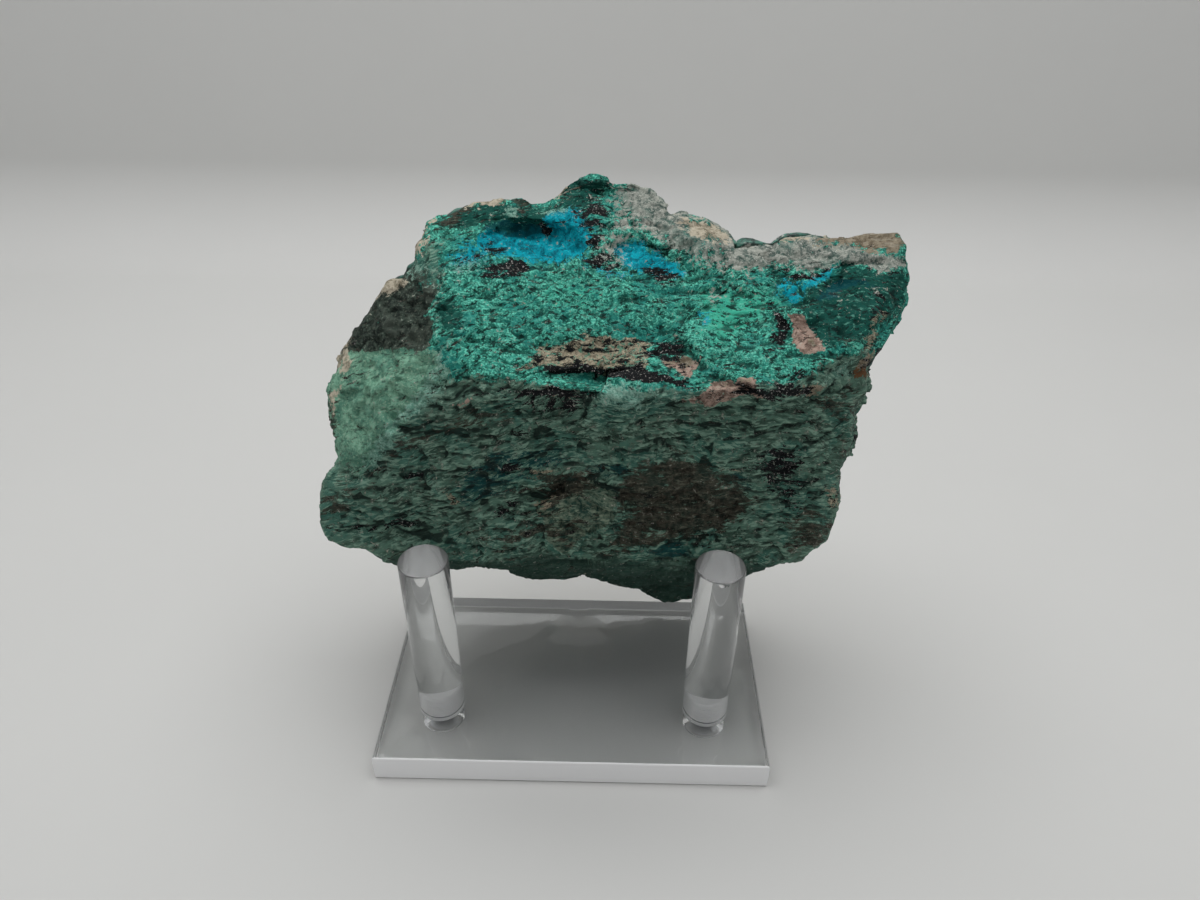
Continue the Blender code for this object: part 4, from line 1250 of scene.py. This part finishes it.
def turned_surface(profile, sides, centre_x, centre_y):
    """A profile carried round an upright axis, closed by a point at each end.

    The profile's rows are radius, height and kind. A plain row is round. A threaded row's radius
    also rises and falls with height over pitch less turn, which makes a real screw thread. A
    hexagon row's radius is its flat's distance over the cosine of the angle from the flat.
    """
    angle = np.arange(sides) / sides * 2 * math.pi
    rows = []
    for radius, height, kind in profile[1:-1]:
        reach = np.full(sides, radius)
        if kind == "thread":
            turn = (height / THREAD_PITCH - angle / (2 * math.pi)) % 1.0
            reach += THREAD_DEPTH * (1 - 2 * np.abs(turn * 2 - 1))
        if kind == "hexagon":
            reach = radius / np.cos((angle % (math.pi / 3)) - math.pi / 6)
        flat = np.stack([reach * np.cos(angle), reach * np.sin(angle)], axis=1) + (centre_x, centre_y)
        rows.append(np.column_stack([flat, np.full(sides, height)]))
    ends = [np.array([[centre_x, centre_y, profile[end][1]]]) for end in (0, -1)]
    points = np.concatenate([*rows, *ends])
    index = np.arange(len(rows) * sides).reshape(len(rows), sides)
    ahead = np.roll(index, -1, axis=1)
    quads = np.stack([index[:-1], ahead[:-1], ahead[1:], index[1:]], axis=-1).reshape(-1, 4)
    first, last = len(rows) * sides, len(rows) * sides + 1
    caps = [
        np.stack([ahead[0], index[0], np.full(sides, first)], axis=-1),
        np.stack([index[-1], ahead[-1], np.full(sides, last)], axis=-1),
    ]
    return points, quads, np.concatenate(caps)


def thread_rows(radius, start, end):
    """A threaded stretch of a profile, from one height to another, up or down."""
    step = math.copysign(THREAD_PITCH / THREAD_ROWS, end - start)
    return [(radius, height, "thread") for height in np.arange(start, end, step)]


def peg_profile():
    """From the hole's top down its threads, out over the peg's foot, up its side and in on top."""
    hole_top = SCREW_TOP + GAP
    threads = thread_rows(HOLE_RADIUS, hole_top - BARE_END, PEG_BOTTOM + HOLE_RIM)
    inner = PEG_RADIUS - PEG_EDGE
    foot = [
        (inner + PEG_EDGE * math.sin(turn), PEG_BOTTOM + PEG_EDGE * (1 - math.cos(turn)), "plain")
        for turn in np.linspace(0, math.pi / 2, EDGE_STEPS)
    ]
    top = [
        (inner + PEG_EDGE * math.cos(turn), PEG_TOP - PEG_EDGE * (1 - math.sin(turn)), "plain")
        for turn in np.linspace(0, math.pi / 2, EDGE_STEPS)
    ]
    bare = [(HOLE_RADIUS + THREAD_DEPTH, PEG_BOTTOM + HOLE_BARE, "plain")]
    mouth = [(HOLE_RADIUS + HOLE_MOUTH, PEG_BOTTOM, "plain")]
    ring = [(HOLE_TOP_RADIUS, hole_top - HOLE_TOP_ROUNDING, "plain")]
    hole = [(0.0, hole_top, "plain"), *ring, *threads, *bare]
    return [*hole, *mouth, *foot, *top, (0.0, PEG_TOP, "plain")]


def screw_profile():
    """From the socket's floor out over the head, up the cone and the threads to the end."""
    low = SCREW_BOTTOM
    cone_top = low + HEAD_LAND + HEAD_RADIUS - SHANK_RADIUS
    thread_start, thread_end = cone_top + SCREW_BEVEL, SCREW_TOP - BARE_END
    threads = thread_rows(SHANK_RADIUS - THREAD_DEPTH, thread_start, thread_end)
    return [
        (0.0, low + SOCKET_DEPTH + SOCKET_DRILL_TIP, "plain"),
        (SOCKET_FLAT * SOCKET_NARROWING, low + SOCKET_DEPTH, "hexagon"),
        (SOCKET_FLAT, low + SOCKET_BEVEL, "hexagon"),
        (SOCKET_FLAT + SOCKET_BEVEL, low, "hexagon"),
        (SOCKET_FLAT + SOCKET_RIM, low, "plain"),
        (HEAD_RADIUS - HEAD_BEVEL, low, "plain"),
        (HEAD_RADIUS, low + HEAD_BEVEL, "plain"),
        (HEAD_RADIUS, low + HEAD_LAND, "plain"),
        (SHANK_RADIUS, cone_top, "plain"),
        *threads,
        (SHANK_RADIUS - 2 * THREAD_DEPTH, SCREW_TOP - SCREW_BEVEL, "plain"),
        (SHANK_RADIUS - 2 * THREAD_DEPTH - SCREW_BEVEL, SCREW_TOP, "plain"),
        (0.0, SCREW_TOP, "plain"),
    ]


def plate_surface():
    """The plate's closed surface with its two screw holes.

    Each half of the top and of the underside is a band from the rim to a circle, matched point
    by point by angle from the hole's middle. The hole's wall is a profile carried round, and the
    rim is a quarter-round edge carried along the outline. Points that coincide are merged.
    """
    half_wide, half_deep = (PLATE_HIGH[0] - PLATE_LOW[0]) / 2, (PLATE_HIGH[1] - PLATE_LOW[1]) / 2
    low_x, low_y = -half_wide + PLATE_EDGE, -half_deep + PLATE_EDGE
    corners = np.array([(low_x, low_y), (0.0, low_y), (0.0, -low_y), (low_x, -low_y)])
    share = np.arange(SIDE_POINTS)[:, None] / SIDE_POINTS
    rim = np.concatenate([
        start + (end - start) * share for start, end in zip(corners, np.roll(corners, -1, axis=0))
    ])
    centre = PEG_AXES["left"]
    arm = rim - centre
    arm /= np.linalg.norm(arm, axis=1, keepdims=True)
    wide = HEAD_RADIUS + CONE_CLEARANCE
    narrow = SHANK_RADIUS + GAP
    cone_low = SCREW_BOTTOM + HEAD_LAND
    loops = [np.column_stack([rim, np.full(len(rim), PLATE_TOP)])]
    for radius, height in (
        (narrow + HOLE_RIM, PLATE_TOP), (narrow, PLATE_TOP - HOLE_RIM),
        (narrow, cone_low + wide - narrow), (wide, cone_low), (wide, HEAD_BEVEL),
        (wide + HEAD_BEVEL, 0.0),
    ):
        loops.append(np.column_stack([centre + arm * radius, np.full(len(rim), height)]))
    loops.append(np.column_stack([rim, np.zeros(len(rim))]))
    index = np.arange(len(loops) * len(rim)).reshape(len(loops), len(rim))
    ahead = np.roll(index, -1, axis=1)
    left_quads = np.stack([index[:-1], ahead[:-1], ahead[1:], index[1:]], axis=-1).reshape(-1, 4)
    left = np.concatenate(loops)
    right = left * (-1.0, 1.0, 1.0)
    outer = np.delete(rim, np.arange(SIDE_POINTS + 1, 2 * SIDE_POINTS), axis=0)
    outer = np.roll(outer, -(SIDE_POINTS + 1), axis=0)
    round_rim = np.concatenate([outer, (outer * (-1.0, 1.0))[-2:0:-1]])
    on_side = np.abs(np.abs(round_rim) - (-low_x, -low_y)) < CLOSE_ENOUGH
    side = np.sign(round_rim) * on_side
    edge_rows = []
    for turn in np.linspace(0, math.pi / 2, EDGE_STEPS):
        flat = round_rim + side * PLATE_EDGE * math.sin(turn)
        drop = PLATE_EDGE * (1 - math.cos(turn))
        edge_rows.append(np.column_stack([flat, np.full(len(flat), PLATE_TOP - drop)]))
    edge_rows += [row * (1.0, 1.0, -1.0) + (0.0, 0.0, PLATE_TOP) for row in edge_rows[::-1]]
    rim_index = np.arange(len(edge_rows) * len(round_rim)).reshape(len(edge_rows), -1)
    rim_ahead = np.roll(rim_index, -1, axis=1)
    rim_quads = np.stack([rim_index[:-1], rim_index[1:], rim_ahead[1:], rim_ahead[:-1]], axis=-1)
    points = np.concatenate([left, right, *edge_rows])
    quads = np.concatenate([
        left_quads, left_quads[:, ::-1] + len(left), rim_quads.reshape(-1, 4) + 2 * len(left)
    ])
    rounded = np.round(points, MERGE_DECIMALS)
    _, first, same = np.unique(rounded, axis=0, return_index=True, return_inverse=True)
    return points[first], same.ravel()[quads]


class SPECIMEN_OT_rock(bpy.types.Operator):
    """Build the broken rock with its minerals"""

    bl_idname = "specimen.rock"
    bl_label = "Rock"

    def execute(self, context):
        count = sizes().grid
        front, rows, _ = stone_sheets(count)
        points, faces, fan = closed_sheet(front, rows[:ROCK_ROWS], count, 1)
        wall_start, border = len(front), 4 * count
        edge = np.clip((1 - disc_grid(count)[0].ravel()) * OUTLINE_CALM, 0, 1)
        calm = np.concatenate([edge, np.zeros(len(points) - wall_start)])
        reach = np.ones(len(points))
        reach[:wall_start] = OUTLINE_ROUGHNESS + (1 - OUTLINE_ROUGHNESS) * edge**0.5
        reach[wall_start:] = OUTLINE_ROUGHNESS
        wall = np.repeat(np.arange(ROCK_ROWS) / ROCK_ROWS, border)
        reach[wall_start : wall_start + len(wall)] += (1 - OUTLINE_ROUGHNESS) * wall
        reach[wall_start + ROCK_ROWS * border :] = 0
        right, up = warped_view(points)
        lower = break_share(right, up, "lower_left", "lower_right", "corner", "underside")
        quartz = np.clip(oval_sum(MINERALS["quartz"] + MINERALS["pale_rim"], right, up), 0, 1)
        height = front_height(points / MM, right, up, lower, quartz, calm)
        points = seated(roughen(points, faces, height, reach))
        piece = new_piece("rock", points, faces, fan)
        for name, values in rock_zones(points).items():
            paint_zone(piece, name, values)
        # Depth below the surroundings: the material paints shade where it is deep and highlights where
        # it stands high
        paint_zone(piece, "cavity", cavities(height * reach, faces))
        paint_directions(piece, "bed", bed_places(points))
        finish_piece(piece, rock_material(), "chrysocolla", "specimen")
        return {"FINISHED"}


class SPECIMEN_OT_crust(bpy.types.Operator):
    """Build the quartz crust on the back and its crystals"""

    bl_idname = "specimen.crust"
    bl_label = "Quartz crust"

    def execute(self, context):
        count = sizes().crust_grid
        _, rows, back = stone_sheets(count)
        points, faces, fan = closed_sheet(back, rows[: CRUST_FIRST_ROW - 1 : -1], count, -1)
        border = 4 * count
        row_count = WALL_ROWS - CRUST_FIRST_ROW
        reach = np.ones(len(points))
        reach[len(back) + row_count * border :] = 0
        inner = 1 - disc_grid(count)[0].ravel()
        low_rim = CRUST_RIM_LUMPS + (1 - CRUST_RIM_LUMPS) * np.clip(inner * CRUST_RIM_RISE, 0, 1)
        low_rim = np.append(low_rim, np.full(len(points) - len(back), CRUST_RIM_LUMPS))
        height = crust_height(points / MM) * low_rim + CRUST_STANDS_OUT
        points = seated(roughen(points, faces, height, reach))
        piece = new_piece("quartz_crust", points, faces, fan)
        # Depth below the surroundings, which the crust's material darkens as painted shade
        paint_zone(piece, "cavity", cavities(height * reach, faces))
        seam = np.zeros(len(points))
        seam[len(back) :][: row_count * border] = np.repeat(np.arange(row_count), border) / row_count
        paint_zone(piece, "seam", seam)
        finish_piece(piece, crust_material(), "chrysocolla")
        self.crystals(points[: len(back)], point_normals(points, faces), inner)
        return {"FINISHED"}

    def crystals(self, places, normals, inner):
        random = np.random.default_rng(CRYSTAL_SEED)
        patch = smooth_noise(places / MM / CRYSTAL_PATCH, CRYSTAL_SEED)
        chance = np.clip(patch * CRYSTAL_PATCH_CONTRAST + CRYSTAL_CHANCE, 0, 1)
        chance = np.where(places[:, 2] < PLATE_TOP + CRYSTAL_CLEAR, 0, chance)
        chance[inner < CRYSTALS_FROM_RIM] = 0
        picked = random.choice(
            len(places), sizes().crystals, replace=False, p=chance / chance.sum()
        )
        spread = random.lognormal(0.0, CRYSTAL_LENGTH_SPREAD, len(picked))
        length = sizes().crystal_length * spread
        width = length * random.uniform(*CRYSTAL_WIDTHS, len(picked))
        piece = new_piece(
            "quartz_points",
            *crystal_cluster(places[picked], normals[picked], length, width, CRYSTAL_SEED),
            smooth=False,
        )
        finish_piece(piece, crystal_material(), "chrysocolla")


class SPECIMEN_OT_stand(bpy.types.Operator):
    """Build the clear plate, the pegs and the screws"""

    bl_idname = "specimen.stand"
    bl_label = "Stand"

    def execute(self, context):
        acrylic, steel = acrylic_material(), steel_material()
        drilled = cut_acrylic_material("drilled acrylic", 0.04, 0.5, 0.8)
        satin = cut_acrylic_material("satin acrylic", 0.8, 0.12, 0.25)
        sawn = cut_acrylic_material("sawn acrylic", 0.12, 0.3, 0.45)
        plate = new_piece("plate", *plate_surface())
        plate.data.set_sharp_from_angle(angle=SHARP_ANGLE)
        finish_piece(plate, acrylic, "acrylic", "base_plate")
        plate.data.materials.append(sawn)
        centre, _ = face_facts(plate)
        at_end = np.abs(centre[:, 1]) > PLATE_HIGH[1] - PLATE_EDGE / 2
        plate.data.polygons.foreach_set("material_index", at_end.astype(np.int32))
        for side, (x, y) in PEG_AXES.items():
            peg = new_piece("peg_body_" + side, *turned_surface(peg_profile(), PEG_SIDES, x, y))
            peg.data.set_sharp_from_angle(angle=SHARP_ANGLE)
            finish_piece(peg, acrylic, "acrylic", "peg_" + side)
            peg.data.materials.append(drilled)
            peg.data.materials.append(satin)
            centre, normal = face_facts(peg)
            middle = np.hypot(*(centre[:, :2] - (x, y)).T)
            in_hole = (middle < HOLE_RADIUS + THREAD_DEPTH) & (centre[:, 2] < SCREW_TOP + MM)
            cut = in_hole | (normal[:, 2] < -LEVEL_FACE)
            on_top = normal[:, 2] > LEVEL_FACE
            peg.data.polygons.foreach_set(
                "material_index", (cut + 2 * on_top * ~cut).astype(np.int32)
            )
            turned = turned_surface(screw_profile(), SCREW_SIDES, x, y)
            screw = new_piece("screw_body_" + side, *turned)
            screw.data.set_sharp_from_angle(angle=SHARP_ANGLE)
            finish_piece(screw, steel, "dark_steel", "screw_" + side)
            # Head zone: the head and its cone are bright steel; the threads above stay near black,
            # partly as painted shade
            height = np.array([corner.co.z for corner in screw.data.vertices])
            paint_zone(screw, "head", (height < SCREW_BOTTOM + HEAD_RADIUS - SHANK_RADIUS) * 1.0)
        return {"FINISHED"}


class SPECIMEN_OT_stage(bpy.types.Operator):
    """Lay the plain floor and its sweep, and place the lights and the camera"""

    bl_idname = "specimen.stage"
    bl_label = "Studio"

    def execute(self, context):
        self.floor()
        self.lights()
        self.camera()
        return {"FINISHED"}

    def floor(self):
        """A sheet that lies flat, bends up through a quarter circle and stands behind."""
        paint = Paint("studio paper")
        paper = paint.noise(60.0, 3, 0.5)
        darker = tuple(FLOOR_SHADE * channel for channel in sizes().floor)
        color = paint.mix(paper, sizes().floor, darker)
        material = paint.set(Base_Color=color, Roughness=0.9, Specular_IOR_Level=0.2)
        turn = np.linspace(0, math.pi / 2, SWEEP_STEPS)
        y = np.concatenate([[-FLOOR_REACH], SWEEP_START + SWEEP_RADIUS * np.sin(turn)])
        z = np.concatenate([[0.0], SWEEP_RADIUS * (1 - np.cos(turn))])
        y, z = np.append(y, y[-1]), np.append(z, SWEEP_HEIGHT)
        x = np.linspace(-FLOOR_REACH, FLOOR_REACH, 3)
        points = np.stack(
            [np.tile(x, len(y)), np.repeat(y, 3), np.repeat(z, 3) + FLOOR_LEVEL], axis=1
        )
        index = np.arange(len(points)).reshape(-1, 3)
        quads = np.stack([index[:-1, :-1], index[:-1, 1:], index[1:, 1:], index[1:, :-1]], axis=-1)
        floor = new_piece("studio_floor", points, quads.reshape(-1, 4))
        floor.data.materials.append(material)

    def lights(self):
        scene = bpy.context.scene
        scene.view_settings.view_transform = "Standard"
        world = bpy.data.worlds.new("studio")
        world.use_nodes = True
        background = world.node_tree.nodes["Background"]
        background.inputs["Color"].default_value = (*WORLD_COLOR, 1.0)
        background.inputs["Strength"].default_value = WORLD_STRENGTH
        scene.world = world
        light = bpy.data.lights.new("overhead", "AREA")
        light.shape = "RECTANGLE"
        light.size, light.size_y = LIGHT_SIZE
        light.energy = sizes().light
        lamp = bpy.data.objects.new("overhead", light)
        scene.collection.objects.link(lamp)
        back = np.subtract(LIGHT_PLACE, LIGHT_AIM)
        back /= np.linalg.norm(back)
        side = np.cross((0.0, 1.0, 0.0), back)
        side /= np.linalg.norm(side)
        lamp.matrix_world = placed(side, np.cross(back, side), back, LIGHT_PLACE)

    def camera(self):
        right, up, away = eye_axes()
        data = bpy.data.cameras.new("camera")
        data.sensor_fit = "HORIZONTAL"
        data.sensor_width = SENSOR_WIDTH
        data.lens = FOCAL_PIXELS / PHOTO_WIDTH * SENSOR_WIDTH
        data.clip_start = 0.01
        camera = bpy.data.objects.new("camera", data)
        bpy.context.scene.collection.objects.link(camera)
        camera.matrix_world = placed(right, up, -away, EYE)
        bpy.context.scene.camera = camera


def placed(side, up, back, place):
    """The matrix of an object with these directions to its right, up and back, at this place."""
    matrix = np.eye(4)
    matrix[:3] = np.column_stack([side, up, back, place])
    return Matrix(matrix.tolist())


class SPECIMEN_PT_panel(bpy.types.Panel):
    """The pieces of the specimen and their settings"""

    bl_label = "Specimen"
    bl_idname = "SPECIMEN_PT_panel"
    bl_space_type = "VIEW_3D"
    bl_region_type = "UI"
    bl_category = "Specimen"

    def draw(self, context):
        for name in sorted(SPECIMEN_PG_sizes.__annotations__):
            self.layout.prop(context.scene.specimen_sizes, name)
        for operator in OPERATORS:
            self.layout.operator(operator.bl_idname)


OPERATORS = (
    SPECIMEN_OT_rock,
    SPECIMEN_OT_crust,
    SPECIMEN_OT_stand,
    SPECIMEN_OT_stage,
)


def register():
    for item in (SPECIMEN_PG_sizes, *OPERATORS, SPECIMEN_PT_panel):
        bpy.utils.register_class(item)
    bpy.types.Scene.specimen_sizes = bpy.props.PointerProperty(type=SPECIMEN_PG_sizes)


def unregister():
    del bpy.types.Scene.specimen_sizes
    for item in (SPECIMEN_PT_panel, *reversed(OPERATORS), SPECIMEN_PG_sizes):
        bpy.utils.unregister_class(item)


def main():
    register()
    bpy.ops.specimen.rock()
    bpy.ops.specimen.crust()
    bpy.ops.specimen.stand()
    bpy.ops.specimen.stage()


if __name__ == "__main__":
    main()
